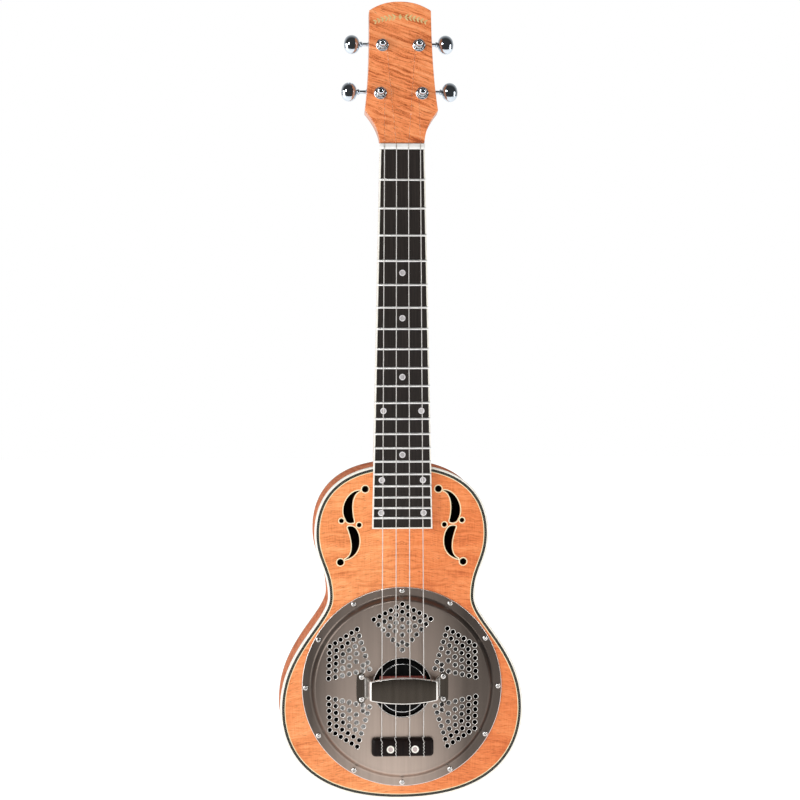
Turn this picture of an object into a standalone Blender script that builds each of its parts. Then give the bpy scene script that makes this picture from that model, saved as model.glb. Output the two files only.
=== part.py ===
"""Four-string tenor-scale resonator instrument, as an assembly of separate solids.

Lengths here are in millimetres and become metres in add_mesh(). x runs across the instrument,
y from front to back with the soundboard's outer face at 0, and z up, with 0 at the nut's
fingerboard side. The headstock's pieces are modelled in its own tilted frame: x across, y back
from the veneer's face, z up along the face.
"""
import math

import bmesh
import bpy
from mathutils import Vector
from mathutils.geometry import tessellate_polygon

MM = 0.001
GAP = 0.3  # clearance between pieces that touch

# Scale and strings
SCALE_LENGTH = 431.8
COMPENSATION = 1.5  # how far the saddle stands beyond the scale length
SADDLE_Z = -SCALE_LENGTH - COMPENSATION
STRING_RADIUS = 0.35
NUT_SPACING = 9.6
SADDLE_SPACING = 11.3
STRING_Y_NUT = -7.85
STRING_Y_SADDLE = -13.0
STRING_Y_ANCHOR = -9.0
STRING_STEPS = (-1.5, -0.5, 0.5, 1.5)
STRING_NAMES = ("string_low_left", "string_inner_left", "string_inner_right", "string_low_right")

# Body
BODY_DEPTH = 60.0
PLATE = 3.0
WALL = 1.2
BINDING_WIDTH = 1.3
BINDING_HEIGHT = 6.0
LINING_WIDTH = 2.2
LINING_HEIGHT = 8.0
TAIL_Z, LOWER_Z, WAIST_Z, UPPER_Z, TOP_Z = -525.0, -451.0, -360.5, -309.0, -253.0
LOWER_HALF, WAIST_HALF, UPPER_HALF = 98.5, 59.5, 70.5
LOWER_SIDE, WAIST_SIDE, UPPER_SIDE = (LOWER_HALF, LOWER_Z), (WAIST_HALF, WAIST_Z), (UPPER_HALF, UPPER_Z)
BODY_CURVES = (
    ((0, TAIL_Z), (78, TAIL_Z), (LOWER_HALF, LOWER_Z - 34), LOWER_SIDE),
    (LOWER_SIDE, (LOWER_HALF, LOWER_Z + 47), (WAIST_HALF, WAIST_Z - 19), WAIST_SIDE),
    (WAIST_SIDE, (WAIST_HALF, WAIST_Z + 22.5), (UPPER_HALF, UPPER_Z - 22.5), UPPER_SIDE),
    (UPPER_SIDE, (UPPER_HALF, UPPER_Z + 30), (52, TOP_Z), (0, TOP_Z)),
)
BODY_STEPS = (7, 7, 4, 7)
PLATE_INSET = BINDING_WIDTH + GAP
SIDE_INNER = PLATE_INSET + WALL
LINING_OUTER = SIDE_INNER + GAP
LINING_INNER = LINING_OUTER + LINING_WIDTH
NECK_BLOCK_HALF, NECK_BLOCK_END = 28.0, -280.0
TAIL_BLOCK_HALF, TAIL_BLOCK_END = 30.0, -507.5

# Cone, coverplate and bridge
COVER_RADIUS = 81.0
COVER_SHEET = 0.9
COVER_RIM = 73.5
COVER_RAISED = 70.5
COVER_RISE = 4.7
COVER_HOLE = 23.6
RIM_SCREW_CIRCLE = 78.0
RIM_SCREWS = 12
PILOT_RADIUS, CLEARANCE_RADIUS = 1.5, 1.6  # of the holes that screws bite in and pass through
CONE_OPENING = 73.0
CONE_RADIUS = 71.5
CONE_SHEET = 0.7
CONE_FLAT = 20.5
CONE_APEX_Y = -3.7
LEDGE_Y = 8.0
WELL_OUTER, WELL_INNER, WELL_BACK = 80.2, 66.0, 16.0
BISCUIT_RADIUS = 19.7
BISCUIT_FRONT = -9.0
SADDLE_CREST = -13.2
SADDLE_HALF_WIDTH = 18.6
SADDLE_HALF_BASE = 10.0
BISCUIT_SCREW_RADIUS, BISCUIT_SCREW_TIP = 1.0, -6.9
NOTCH_HALF, NOTCH_MOUTH = 0.6, 0.9
GROUP_ANGLES = (90, 30, 150, -30, -150)
CHEVRON_STEPS = (5, 4, 3, 2, 1, 1, 0)
CHEVRON_APEX, CHEVRON_PITCH = 67.7, 6.17
CHEVRON_END, CHEVRON_END_PITCH, CHEVRON_HALF = 55.5, 4.15, 23.0
PERFORATION_RADIUS = 1.9
PERFORATION_SIDES = 5
COVER_FRONT = -GAP - COVER_SHEET - COVER_RISE

# Handrest and string anchor
REST_TOP_Y = -25.0
REST_SHEET = 1.0
REST_SCREW_X, REST_SCREW_Z = 33.0, 9.1
ANCHOR_TOP, ANCHOR_BOTTOM, ANCHOR_HALF = -473.7, -488.5, 25.0
ANCHOR_FRONT = -12.0
ANCHOR_DOT_X, ANCHOR_DOT_Z = 9.9, -482.5
ANCHOR_BORE_RADIUS, ANCHOR_BORE_FLOOR = 2.7, -8.2
SCREW_SHANK, SCREW_HEAD, SCREW_DOME = 1.0, 2.3, 1.5
SCREW_REACH = 2.6  # how far the sheet-metal screws pass behind the coverplate's face

# Neck and fingerboard
BOARD_END = -304.6
BOARD_HALF_NUT, BOARD_HALF_END = 18.0, 24.3
BOARD_FRONT = -6.3
FRETS = 20
FRET_WIDTH, FRET_HEIGHT = 2.0, 1.0
NECK_DEPTH_NUT, NECK_DEPTH_BODY = 14.0, 16.5
HEEL_DEPTH = 56.0
TENON_HALF, TENON_FRONT, TENON_BACK, TENON_END = 7.0, 14.0, 44.0, -266.0
NUT_TOP = 5.8
NUT_FRONT = -8.2

# Headstock, in its own frame
TILT = math.radians(12.0)
CREST_RISE, CREST_POWER = 7.5, 2.3
VENEER = 1.8
HEAD_START = 6.2
SLAB_FRONT = VENEER + GAP
SLAB_BACK = SLAB_FRONT + 12.0
BUTTON_AXIS_Y = 22.0
WORM_DISTANCE = 7.3
WORM_PITCH_RADIUS = 2.1
GEAR_TEETH = 14
GEAR_PITCH_RADIUS = WORM_DISTANCE - WORM_PITCH_RADIUS
WORM_PITCH = 2 * math.pi * GEAR_PITCH_RADIUS / GEAR_TEETH
ADDENDUM, DEDENDUM = 0.4, 0.6
GEAR_HALF_WIDTH = 2.6
UPPER_POST, LOWER_POST = (14.8, 79.7), (16.8, 39.7)
UPPER_BUTTON, LOWER_BUTTON = 23.8, 24.5
BUSHING_HOLE = 4.35
POST_BACK = 27.2
COIL_RADIUS = 2.4 + GAP + STRING_RADIUS


# ---- Materials -------------------------------------------------------------------------------

def make_material(name, colour, roughness, metallic=0.0):
    material = bpy.data.materials.new(name)
    material.use_nodes = True
    shader = material.node_tree.nodes["Principled BSDF"]
    shader.inputs["Base Color"].default_value = (*colour, 1.0)
    shader.inputs["Roughness"].default_value = roughness
    shader.inputs["Metallic"].default_value = metallic
    material.diffuse_color = (*colour, 1.0)
    return material


# ---- Meshes ----------------------------------------------------------------------------------

def add_mesh(name, verts, faces, material=None, origin=(0, 0, 0), parent=None):
    """A closed mesh with its doubled points merged and its faces turned outwards."""
    mesh = bpy.data.meshes.new(name)
    shift = Vector(origin)
    mesh.from_pydata([(Vector(v) - shift) * MM for v in verts], [], faces)
    work = bmesh.new()
    work.from_mesh(mesh)
    bmesh.ops.remove_doubles(work, verts=work.verts, dist=1e-7)
    bmesh.ops.recalc_face_normals(work, faces=work.faces)
    work.to_mesh(mesh)
    work.free()
    mesh.shade_smooth()
    mesh.set_sharp_from_angle(angle=math.radians(30))
    thing = bpy.data.objects.new(name, mesh)
    thing.location = shift * MM
    bpy.context.scene.collection.objects.link(thing)
    if parent:
        thing.parent = parent
    if material:
        mesh.materials.append(material)
    return thing


def combine(thing, tool, operation):
    """Adds or cuts away the tool with an exact Boolean, and keeps the tool out of the model."""
    tool.hide_render = True
    tool.display_type = "WIRE"
    modifier = thing.modifiers.new(tool.name, "BOOLEAN")
    modifier.solver = "EXACT"
    modifier.operation = operation
    modifier.object = tool


def loft(rings, closed=False):
    """Rings of equal count joined in order; open lofts are capped, and a one-point ring is a tip."""
    verts, starts = [], []
    for ring in rings:
        starts.append(len(verts))
        verts.extend(ring)
    faces = []
    pairs = [(k, k + 1) for k in range(len(rings) - 1)]
    if closed:
        pairs.append((len(rings) - 1, 0))
    for a, b in pairs:
        faces.extend(ring_faces(starts[a], len(rings[a]), starts[b], len(rings[b])))
    if not closed:
        for k in (0, len(rings) - 1):
            if len(rings[k]) > 1:
                faces.append(tuple(range(starts[k], starts[k] + len(rings[k]))))
    return verts, faces


def ring_faces(a, count_a, b, count_b):
    count = max(count_a, count_b)
    faces = []
    for i in range(count):
        j = (i + 1) % count
        if count_a == 1:
            faces.append((a, b + i, b + j))
        elif count_b == 1:
            faces.append((a + i, a + j, b))
        else:
            faces.append((a + i, a + j, b + j, b + i))
    return faces


def circle(radius, sides, x=0.0, z=0.0, turn=0.0):
    angles = [turn + 2 * math.pi * i / sides for i in range(sides)]
    return [(x + radius * math.cos(a), z + radius * math.sin(a)) for a in angles]


def turned(profile, sides, x=0.0, z=0.0, closed=False):
    """A profile of (radius, y) spun round a y axis at (x, z)."""
    rings = []
    for radius, y in profile:
        if radius == 0:
            rings.append([(x, y, z)])
        else:
            rings.append([(px, y, pz) for px, pz in circle(radius, sides, x, z)])
    return loft(rings, closed)


def fill(outer, holes):
    """Triangles over a flat outline with holes, with their points."""
    loops = [[Vector((x, z, 0)) for x, z in loop] for loop in [outer, *holes]]
    points = [(p.x, p.y) for loop in loops for p in loop]
    return points, tessellate_polygon(loops)


def sheet(regions, walls, front, back):
    """Regions of the x-z plane filled on a front and a back surface, joined along the walls."""
    verts, faces = [], []
    for outer, holes in regions:
        points, triangles = fill(outer, holes)
        for surface in (front, back):
            start = len(verts)
            verts.extend((x, surface(x, z), z) for x, z in points)
            faces.extend(tuple(start + i for i in t) for t in triangles)
    for loop in walls:
        rings = [[(x, surface(x, z), z) for x, z in loop] for surface in (front, back)]
        start = len(verts)
        verts.extend(rings[0] + rings[1])
        faces.extend(tuple(start + i for i in f) for f in ring_faces(0, len(loop), len(loop), len(loop)))
    return verts, faces


def plate(outer, holes, front, back):
    return sheet([(outer, holes)], [outer, *holes], lambda x, z: front, lambda x, z: back)


def box(low, high):
    (x0, y0, z0), (x1, y1, z1) = low, high
    rings = [[(x0, y, z0), (x1, y, z0), (x1, y, z1), (x0, y, z1)] for y in (y0, y1)]
    return loft(rings)


def rounded_rectangle(x0, x1, z0, z1, radius, steps=2):
    corners = ((x1 - radius, z1 - radius), (x0 + radius, z1 - radius),
               (x0 + radius, z0 + radius), (x1 - radius, z0 + radius))
    points = []
    for quarter, (cx, cz) in enumerate(corners):
        for i in range(steps + 1):
            angle = math.pi / 2 * (quarter + i / steps)
            points.append((cx + radius * math.cos(angle), cz + radius * math.sin(angle)))
    return points


def tube(points, radius, sides=5):
    """A round rod along a path, its rings carried without twist from one point to the next."""
    path = [Vector(p) for p in points]
    first = (path[1] - path[0]).normalized()
    rings, side = [], Vector((0, 0, 1)) if abs(first.x) > 0.9 else Vector((1, 0, 0))
    for i, point in enumerate(path):
        along = (path[min(i + 1, len(path) - 1)] - path[max(i - 1, 0)]).normalized()
        side = (side - along * side.dot(along)).normalized()
        up = along.cross(side)
        rings.append([tuple(point + side * (radius * c) + up * (radius * s)) for c, s in circle(1, sides)])
    return loft(rings)


# ---- Shapes shared by several pieces ---------------------------------------------------------

def bezier(curve, t):
    """Point and unit tangent on a cubic curve."""
    p0, p1, p2, p3 = (Vector(p) for p in curve)
    s = 1 - t
    point = s**3 * p0 + 3 * s * s * t * p1 + 3 * s * t * t * p2 + t**3 * p3
    tangent = s * s * (p1 - p0) + 2 * s * t * (p2 - p1) + t * t * (p3 - p2)
    return point, tangent.normalized()


def curve_points(curve, steps):
    return [tuple(bezier(curve, i / steps)[0]) for i in range(steps + 1)]


def body_outline(inset):
    """The body's outline moved inwards, from the tail up the right side and down the left."""
    right = []
    for curve, steps in zip(BODY_CURVES, BODY_STEPS):
        last = curve is BODY_CURVES[-1]
        for i in range(steps + last):
            point, tangent = bezier(curve, i / steps)
            right.append((point.x - inset * tangent.y, point.y + inset * tangent.x))
    return right + [(-x, z) for x, z in reversed(right[1:-1])]


def body_ring(profile):
    """A band that follows the body's outline, from a closed profile of (inset, y)."""
    rings = [[(x, y, z) for x, z in body_outline(inset)] for inset, y in profile]
    return loft(rings, closed=True)


def block_outline(inset, half, inner_z, top):
    """The stretch of the body's inner wall within half of the centreline, closed by a straight edge."""
    wall = [p for p in body_outline(inset) if (p[1] > UPPER_Z) == top and (p[1] < LOWER_Z or top)]
    near = sorted(p for p in wall if abs(p[0]) < half)
    beyond = min((p for p in wall if p[0] >= half), key=lambda p: p[0])
    share = (half - near[-1][0]) / (beyond[0] - near[-1][0])
    edge_z = near[-1][1] + share * (beyond[1] - near[-1][1])
    return [(-half, inner_z), (-half, edge_z), *near, (half, edge_z), (half, inner_z)]


def board_half(z):
    """Half width of the fingerboard, and of the neck under it."""
    return BOARD_HALF_NUT + (BOARD_HALF_END - BOARD_HALF_NUT) * z / BOARD_END


def head_point(x, y, z):
    """A point given in the headstock's frame, in the instrument's frame."""
    face = head_face_origin()
    return (x, face[1] + z * math.sin(TILT) + y * math.cos(TILT),
            face[2] + z * math.cos(TILT) - y * math.sin(TILT))


def head_face_origin():
    """The veneer face's lower edge: the slab's front plane starts on the neck's plane at HEAD_START."""
    return (0.0, -SLAB_FRONT * math.cos(TILT), HEAD_START + SLAB_FRONT * math.sin(TILT))


def head_outline(inset=0.0):
    """Flared sides with an angled shoulder, and a crest that swells in the middle."""
    flare = ((18.3, 0.0), (18.6, 9.2), (23.0, 17.6), (29.4, 25.8))
    side = ((29.4, 25.8), (27.5, 40.5), (25.0, 63.0), (25.0, 109.0))
    right = curve_points(flare, 5) + curve_points(side, 4)[1:]
    crest = []
    for i in range(1, 12):
        x = 25.0 * (1 - i / 6)
        crest.append((x, 109.0 + CREST_RISE * (1 - abs(x / 25.0) ** CREST_POWER)))
    points = right + crest + [(-x, z) for x, z in reversed(right)]
    return [(x - math.copysign(inset, x) * (abs(x) > 1), z) for x, z in points]


# ---- Body pieces -----------------------------------------------------------------------------

def f_hole(side):
    """Two facing crescents and four dots, for the side given as 1 or -1."""
    upper = curve_points(((33.8, -274.0), (42.4, -273.5), (51.2, -287.0), (45.5, -297.3)), 8)
    upper += [(42.9, -300.2), (38.8, -299.7)]
    upper += curve_points(((38.6, -298.9), (41.2, -289.0), (40.9, -277.0), (33.8, -274.4)), 6)
    lower = curve_points(((37.6, -304.5), (32.4, -310.5), (31.9, -327.0), (45.7, -329.8)), 8)
    lower += curve_points(((45.7, -329.4), (38.9, -326.5), (39.2, -316.0), (43.9, -303.9)), 6)
    lower += [(43.2, -303.0), (40.4, -302.8)]
    dots = ((29.6, -272.9, 2.7), (48.8, -298.4, 1.9), (34.5, -301.9, 1.9), (49.7, -332.0, 2.7))
    loops = [upper, lower] + [circle(r, 8, x, z) for x, z, r in dots]
    return [[(side * x, z) for x, z in loop] for loop in loops]


def rim_screw_places():
    angles = [2 * math.pi * i / RIM_SCREWS for i in range(RIM_SCREWS)]
    return [(RIM_SCREW_CIRCLE * math.cos(a), SADDLE_Z + RIM_SCREW_CIRCLE * math.sin(a)) for a in angles]


def screw_holes(radius, places):
    return [circle(radius, 6, x, z) for x, z in places]


def make_plates(wood, back_wood):
    outer = body_outline(PLATE_INSET)
    holes = [circle(CONE_OPENING, 40, 0, SADDLE_Z)]
    holes += f_hole(1) + f_hole(-1) + screw_holes(PILOT_RADIUS, rim_screw_places())
    add_mesh("soundboard", *plate(outer, holes, 0.0, PLATE), wood)
    add_mesh("back", *plate(outer, [], BODY_DEPTH - PLATE, BODY_DEPTH), back_wood)


def make_sides(material):
    """The bent wall, rebated at both edges for the bindings, with a slot for the neck's tenon."""
    step = BINDING_HEIGHT + GAP
    inner_front, inner_back = PLATE + GAP, BODY_DEPTH - PLATE - GAP
    profile = [(PLATE_INSET, inner_front), (PLATE_INSET, step), (0, step), (0, BODY_DEPTH - step),
               (PLATE_INSET, BODY_DEPTH - step), (PLATE_INSET, inner_back),
               (SIDE_INNER, inner_back), (SIDE_INNER, inner_front)]
    sides = add_mesh("sides", *body_ring(profile), material)
    slot = add_mesh("tenon_slot", *box((-TENON_HALF - GAP, TENON_FRONT - GAP, TOP_Z - 12),
                                       (TENON_HALF + GAP, TENON_BACK + GAP, TOP_Z + 5)))
    combine(sides, slot, "DIFFERENCE")


def make_bindings(material):
    for name, front in (("front_binding", 0.0), ("back_binding", BODY_DEPTH - BINDING_HEIGHT)):
        back = front + BINDING_HEIGHT
        profile = [(0, front), (0, back), (BINDING_WIDTH, back), (BINDING_WIDTH, front)]
        add_mesh(name, *body_ring(profile), material)


def make_linings(material):
    near = PLATE + GAP
    far = BODY_DEPTH - PLATE - GAP - LINING_HEIGHT
    for name, front in (("front_lining", near), ("back_lining", far)):
        back = front + LINING_HEIGHT
        profile = [(LINING_OUTER, front), (LINING_OUTER, back), (LINING_INNER, back), (LINING_INNER, front)]
        add_mesh(name, *body_ring(profile), material)


def make_blocks(material):
    """End blocks, rebated for the linings; the neck block has a mortise for the tenon."""
    lining_back = PLATE + 2 * GAP + LINING_HEIGHT
    half, inner_z = NECK_BLOCK_HALF, NECK_BLOCK_END
    low, high = PLATE + GAP, BODY_DEPTH - PLATE - GAP
    wall = block_outline(LINING_OUTER, half, inner_z, True)
    neck_block = add_mesh("neck_block", *plate(wall, [], lining_back, BODY_DEPTH - lining_back), material)
    core_outline = block_outline(LINING_INNER + GAP, half, inner_z, True)
    core = add_mesh("neck_block_core", *plate(core_outline, [], low, high))
    combine(neck_block, core, "UNION")
    mortise = add_mesh("mortise", *box((-TENON_HALF - GAP, TENON_FRONT - GAP, TENON_END - GAP),
                                       (TENON_HALF + GAP, TENON_BACK + GAP, TOP_Z)))
    combine(neck_block, mortise, "DIFFERENCE")

    front = WELL_BACK + GAP
    half, inner_z = TAIL_BLOCK_HALF, TAIL_BLOCK_END
    wall = block_outline(LINING_OUTER, half, inner_z, False)
    tail_block = add_mesh("tail_block", *plate(wall, [], front, BODY_DEPTH - lining_back), material)
    core_outline = block_outline(LINING_INNER + GAP, half, inner_z, False)
    core = add_mesh("tail_block_core", *plate(core_outline, [], front, high))
    combine(tail_block, core, "UNION")


# ---- Cone, coverplate and bridge -------------------------------------------------------------

def make_sound_well(material):
    profile = [(WELL_OUTER, PLATE + GAP), (WELL_OUTER, WELL_BACK), (WELL_INNER, WELL_BACK),
               (WELL_INNER, LEDGE_Y), (CONE_OPENING, LEDGE_Y), (CONE_OPENING, PLATE + GAP)]
    well = add_mesh("sound_well", *turned(profile, 36, 0, SADDLE_Z, closed=True), material)
    for i, (x, z) in enumerate(rim_screw_places()):
        bore = [(PILOT_RADIUS, 0), (PILOT_RADIUS, LEDGE_Y + 0.5)]
        pilot = add_mesh(f"pilot_{i}", *turned(bore, 6, x, z))
        combine(well, pilot, "DIFFERENCE")


def make_cone(material):
    """A shallow spun cone: a flat top for the biscuit, straight walls and a flat rim on the ledge."""
    rim_y = LEDGE_Y - GAP
    front = [(1.6, CONE_APEX_Y), (CONE_FLAT, CONE_APEX_Y), (67.0, rim_y - CONE_SHEET),
             (CONE_RADIUS, rim_y - CONE_SHEET)]
    back = [(r - 0.2 * (1.6 < r < CONE_RADIUS), y + CONE_SHEET) for r, y in reversed(front)]
    add_mesh("resonator_cone", *turned(front + back, 28, 0, SADDLE_Z, closed=True), material)


def make_biscuit(wood, saddle_wood, steel):
    back = CONE_APEX_Y - GAP
    bore, shank, tip = BISCUIT_SCREW_RADIUS + GAP, BISCUIT_SCREW_RADIUS, BISCUIT_SCREW_TIP
    profile = [(0, tip - GAP), (bore, tip - GAP), (bore, back), (BISCUIT_RADIUS, back),
               (BISCUIT_RADIUS, BISCUIT_FRONT), (0, BISCUIT_FRONT)]
    add_mesh("biscuit", *turned(profile, 24, 0, SADDLE_Z), wood)
    head = CONE_APEX_Y + CONE_SHEET + GAP
    profile = [(0, tip), (shank, tip), (shank, head), (3.0, head), (2.4, head + 1.4), (0, head + 1.4)]
    add_mesh("biscuit_screw", *turned(profile, 10, 0, SADDLE_Z), steel)

    rings = [saddle_section(-SADDLE_HALF_WIDTH, SADDLE_CREST)]
    notch_floor = STRING_Y_SADDLE + STRING_RADIUS + GAP
    notch = ((-NOTCH_MOUTH, SADDLE_CREST), (-NOTCH_HALF, notch_floor),
             (NOTCH_HALF, notch_floor), (NOTCH_MOUTH, SADDLE_CREST))
    for step in STRING_STEPS:
        for offset, crest in notch:
            rings.append(saddle_section(step * SADDLE_SPACING + offset, crest))
    rings.append(saddle_section(SADDLE_HALF_WIDTH, SADDLE_CREST))
    add_mesh("saddle", *loft(rings), saddle_wood)


def saddle_section(x, crest):
    """A wedge on a broad foot, its crest where the string bears."""
    foot = BISCUIT_FRONT - GAP
    half = SADDLE_HALF_BASE
    shape = ((-half, foot), (-half + 0.6, foot - 1.0), (-1.3, crest), (1.3, crest),
             (half - 0.6, foot - 1.0), (half, foot))
    return [(x, y, SADDLE_Z + z) for z, y in shape]


def perforations():
    """Five kites of small holes, each of seven nested chevrons that shrink towards the middle."""
    holes = []
    for angle in GROUP_ANGLES:
        along = Vector((math.cos(math.radians(angle)), math.sin(math.radians(angle))))
        across = Vector((-along.y, along.x))
        for i, steps in enumerate(CHEVRON_STEPS):
            apex = CHEVRON_APEX - CHEVRON_PITCH * i
            end = CHEVRON_END - CHEVRON_END_PITCH * i
            half = CHEVRON_HALF * (1 - i / (len(CHEVRON_STEPS) - 1))
            for k in range(-steps, steps + 1):
                share = abs(k) / steps if steps else 0.0
                lateral = math.copysign(half * share, k)
                place = along * (apex + (end - apex) * share) + across * lateral
                holes.append((place.x, SADDLE_Z + place.y))
    return holes


def rest_screw_places():
    return [(sx * REST_SCREW_X, SADDLE_Z + sz * REST_SCREW_Z) for sx in (-1, 1) for sz in (1, -1)]


def anchor_screw_places():
    return [(side * ANCHOR_DOT_X, ANCHOR_DOT_Z) for side in (-1, 1)]


def cover_front(x, z):
    """The coverplate's front: a flat rim, a short slope and a raised flat middle."""
    radius = math.hypot(x, z - SADDLE_Z)
    share = (COVER_RIM - radius) / (COVER_RIM - COVER_RAISED)
    return -GAP - COVER_SHEET - COVER_RISE * min(max(share, 0.0), 1.0)


def make_coverplate(material):
    rim, edge, raised = (circle(r, 48, 0, SADDLE_Z) for r in (COVER_RADIUS, COVER_RIM, COVER_RAISED))
    centre = circle(COVER_HOLE, 32, 0, SADDLE_Z)
    rim_holes = screw_holes(CLEARANCE_RADIUS, rim_screw_places())
    holes = [circle(PERFORATION_RADIUS, PERFORATION_SIDES, x, z) for x, z in perforations()]
    holes += screw_holes(CLEARANCE_RADIUS, rest_screw_places() + anchor_screw_places())
    regions = [(rim, [edge, *rim_holes]), (edge, [raised]), (raised, [centre, *holes])]
    walls = [rim, centre, *rim_holes, *holes]
    mesh = sheet(regions, walls, cover_front, lambda x, z: cover_front(x, z) + COVER_SHEET)
    add_mesh("coverplate", *mesh, material)


def make_screw(name, x, z, seat, tip, material):
    """A domed screw: its head stands in front of the seat and its shank ends at the tip."""
    seat -= GAP
    profile = [(SCREW_SHANK, tip), (SCREW_SHANK, seat), (SCREW_HEAD, seat), (SCREW_HEAD, seat - 0.6),
               (SCREW_HEAD * 0.5, seat - SCREW_DOME)]
    add_mesh(name, *turned(profile, 7, x, z), material, origin=(x, seat, z))


def make_cover_screws(material):
    tip = COVER_FRONT + SCREW_REACH
    for i, (x, z) in enumerate(rim_screw_places()):
        make_screw(f"coverplate_screw_{i + 1}", x, z, -GAP - COVER_SHEET, LEDGE_Y, material)
    for i, (x, z) in enumerate(rest_screw_places()):
        make_screw(f"handrest_screw_{i + 1}", x, z, COVER_FRONT - GAP - REST_SHEET, tip, material)
    for i, (x, z) in enumerate(anchor_screw_places()):
        make_screw(f"anchor_screw_{i + 1}", x, z, ANCHOR_BORE_FLOOR, tip, material)


def make_handrest(material):
    """A bent strip over the strings: screwed feet, sloping legs and a top that widens in the middle."""
    foot_y = COVER_FRONT - GAP - REST_SHEET / 2
    top_y = REST_TOP_Y + REST_SHEET / 2
    left = [(-37.2, foot_y, 8.6), (-36.6, foot_y, 11.4), (-35.0, foot_y, 12.4), (-31.8, foot_y, 12.4),
            (-30.4, foot_y, 11.0), (-29.6, foot_y - 0.4, 9.4), (-29.0, foot_y - 2.2, 8.9),
            (-27.6, top_y + 1.8, 8.3), (-26.8, top_y + 0.3, 8.2), (-25.6, top_y, 8.3)]
    middle = [(x, top_y, 10.9 - 2.6 * (x / 25.6) ** 2) for x in (-19, -12, -5, 5, 12, 19)]
    path = left + middle + [(-x, y, h) for x, y, h in reversed(left)]
    centre = [Vector((x, y)) for x, y, _ in path]
    rings = []
    for i, (_, _, half) in enumerate(path):
        along = (centre[min(i + 1, len(path) - 1)] - centre[max(i - 1, 0)]).normalized()
        normal = Vector((along.y, -along.x)) * (REST_SHEET / 2)
        outer, inner = centre[i] + normal, centre[i] - normal
        rings.append([(outer.x, outer.y, SADDLE_Z + half), (inner.x, inner.y, SADDLE_Z + half),
                      (inner.x, inner.y, SADDLE_Z - half), (outer.x, outer.y, SADDLE_Z - half)])
    rest = add_mesh("handrest", *loft(rings), material)
    for i, (x, z) in enumerate(rest_screw_places()):
        bore = [(CLEARANCE_RADIUS, COVER_FRONT - 4), (CLEARANCE_RADIUS, COVER_FRONT + 1)]
        hole = add_mesh(f"handrest_hole_{i}", *turned(bore, 6, x, z))
        combine(rest, hole, "DIFFERENCE")


def make_string_anchor(material):
    """The tie block: bevelled top, a hole for each string and two counterbored screw holes."""
    back = COVER_FRONT - GAP
    rings = []
    for inset, y in ((0, back), (0, ANCHOR_FRONT + 2.2), (1.2, ANCHOR_FRONT + 0.5), (2.6, ANCHOR_FRONT)):
        outline = rounded_rectangle(-ANCHOR_HALF + inset, ANCHOR_HALF - inset,
                                    ANCHOR_BOTTOM + inset, ANCHOR_TOP - inset, 3.0 - inset / 2)
        rings.append([(x, y, z) for x, z in outline])
    block = add_mesh("string_anchor", *loft(rings), material)
    for i, step in enumerate(STRING_STEPS):
        x = step * SADDLE_SPACING
        ends = ((x, STRING_Y_ANCHOR, ANCHOR_TOP + 5), (x, STRING_Y_ANCHOR, ANCHOR_BOTTOM - 5))
        combine(block, add_mesh(f"string_hole_{i}", *tube(ends, 0.9, 6)), "DIFFERENCE")
    for i, (x, z) in enumerate(anchor_screw_places()):
        wide, floor, narrow = ANCHOR_BORE_RADIUS, ANCHOR_BORE_FLOOR, PILOT_RADIUS
        profile = [(wide, ANCHOR_FRONT - 8), (wide, floor), (narrow, floor), (narrow, back + 4)]
        combine(block, add_mesh(f"anchor_bore_{i}", *turned(profile, 8, x, z)), "DIFFERENCE")


# ---- Neck, fingerboard and headstock ---------------------------------------------------------

def neck_section(half, depth, shoulder_half, shoulder_y, power, place):
    """A flat-fronted section: straight cheeks, then a round back of half-width shoulder_half."""
    points = [(half, 0.0), (half, shoulder_y * 0.5)]
    for i in range(11):
        angle = math.pi * i / 10
        c, s = math.cos(angle), math.sin(angle)
        x = math.copysign(abs(c) ** (2 / power), c) * shoulder_half
        points.append((x, shoulder_y + (depth - shoulder_y) * abs(s) ** (2 / power)))
    points += [(-half, shoulder_y * 0.5), (-half, 0.0)]
    return [place(x, y) for x, y in points]


def neck_rings():
    """Sections from the heel's flat end up to inside the headstock slab."""
    rings = []
    heel = ((TOP_Z + GAP, 1.0), (-247.0, 0.97), (-241.0, 0.80), (-235.0, 0.55), (-228.0, 0.30),
            (-219.0, 0.12), (-208.0, 0.03))
    for z, share in heel:
        depth = NECK_DEPTH_BODY + (HEEL_DEPTH - NECK_DEPTH_BODY) * share
        half = board_half(z)
        shoulder = half - 0.4 - (half - 14.5) * min(share * 1.2, 1.0)
        rings.append(neck_section(half, depth, shoulder, 2.0 + 6.0 * share, 2.2,
                                  lambda x, y, z=z: (x, y, z)))
    for z in (-190.0, -140.0, -90.0, -40.0, -14.0):
        depth = NECK_DEPTH_NUT + (NECK_DEPTH_BODY - NECK_DEPTH_NUT) * z / -200.0
        half = board_half(z)
        rings.append(neck_section(half, depth, half - 0.4, 2.0, 2.2, lambda x, y, z=z: (x, y, z)))
    rings.append(neck_section(18.0, 14.0, 17.8, 2.0, 3.0, lambda x, y: (x, y, 0.0)))
    inside_slab = ((0.0, 13.6, 5.0, 18.2), (3.0, 13.2, 6.0, 17.6), (7.0, 11.5, 6.0, 15.0))
    for height, depth, power, half in inside_slab:
        front = SLAB_FRONT if height == 0.0 else SLAB_FRONT + 0.5
        rings.append(neck_section(half, depth, half, 2.0, power,
                                  lambda x, y, h=height, f=front: head_point(x, f + y, h)))
    return rings


def post_holes():
    places = [(side * x, z) for side in (1, -1) for x, z in (UPPER_POST, LOWER_POST)]
    return [circle(BUSHING_HOLE, 12, x, z) for x, z in places]


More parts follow.
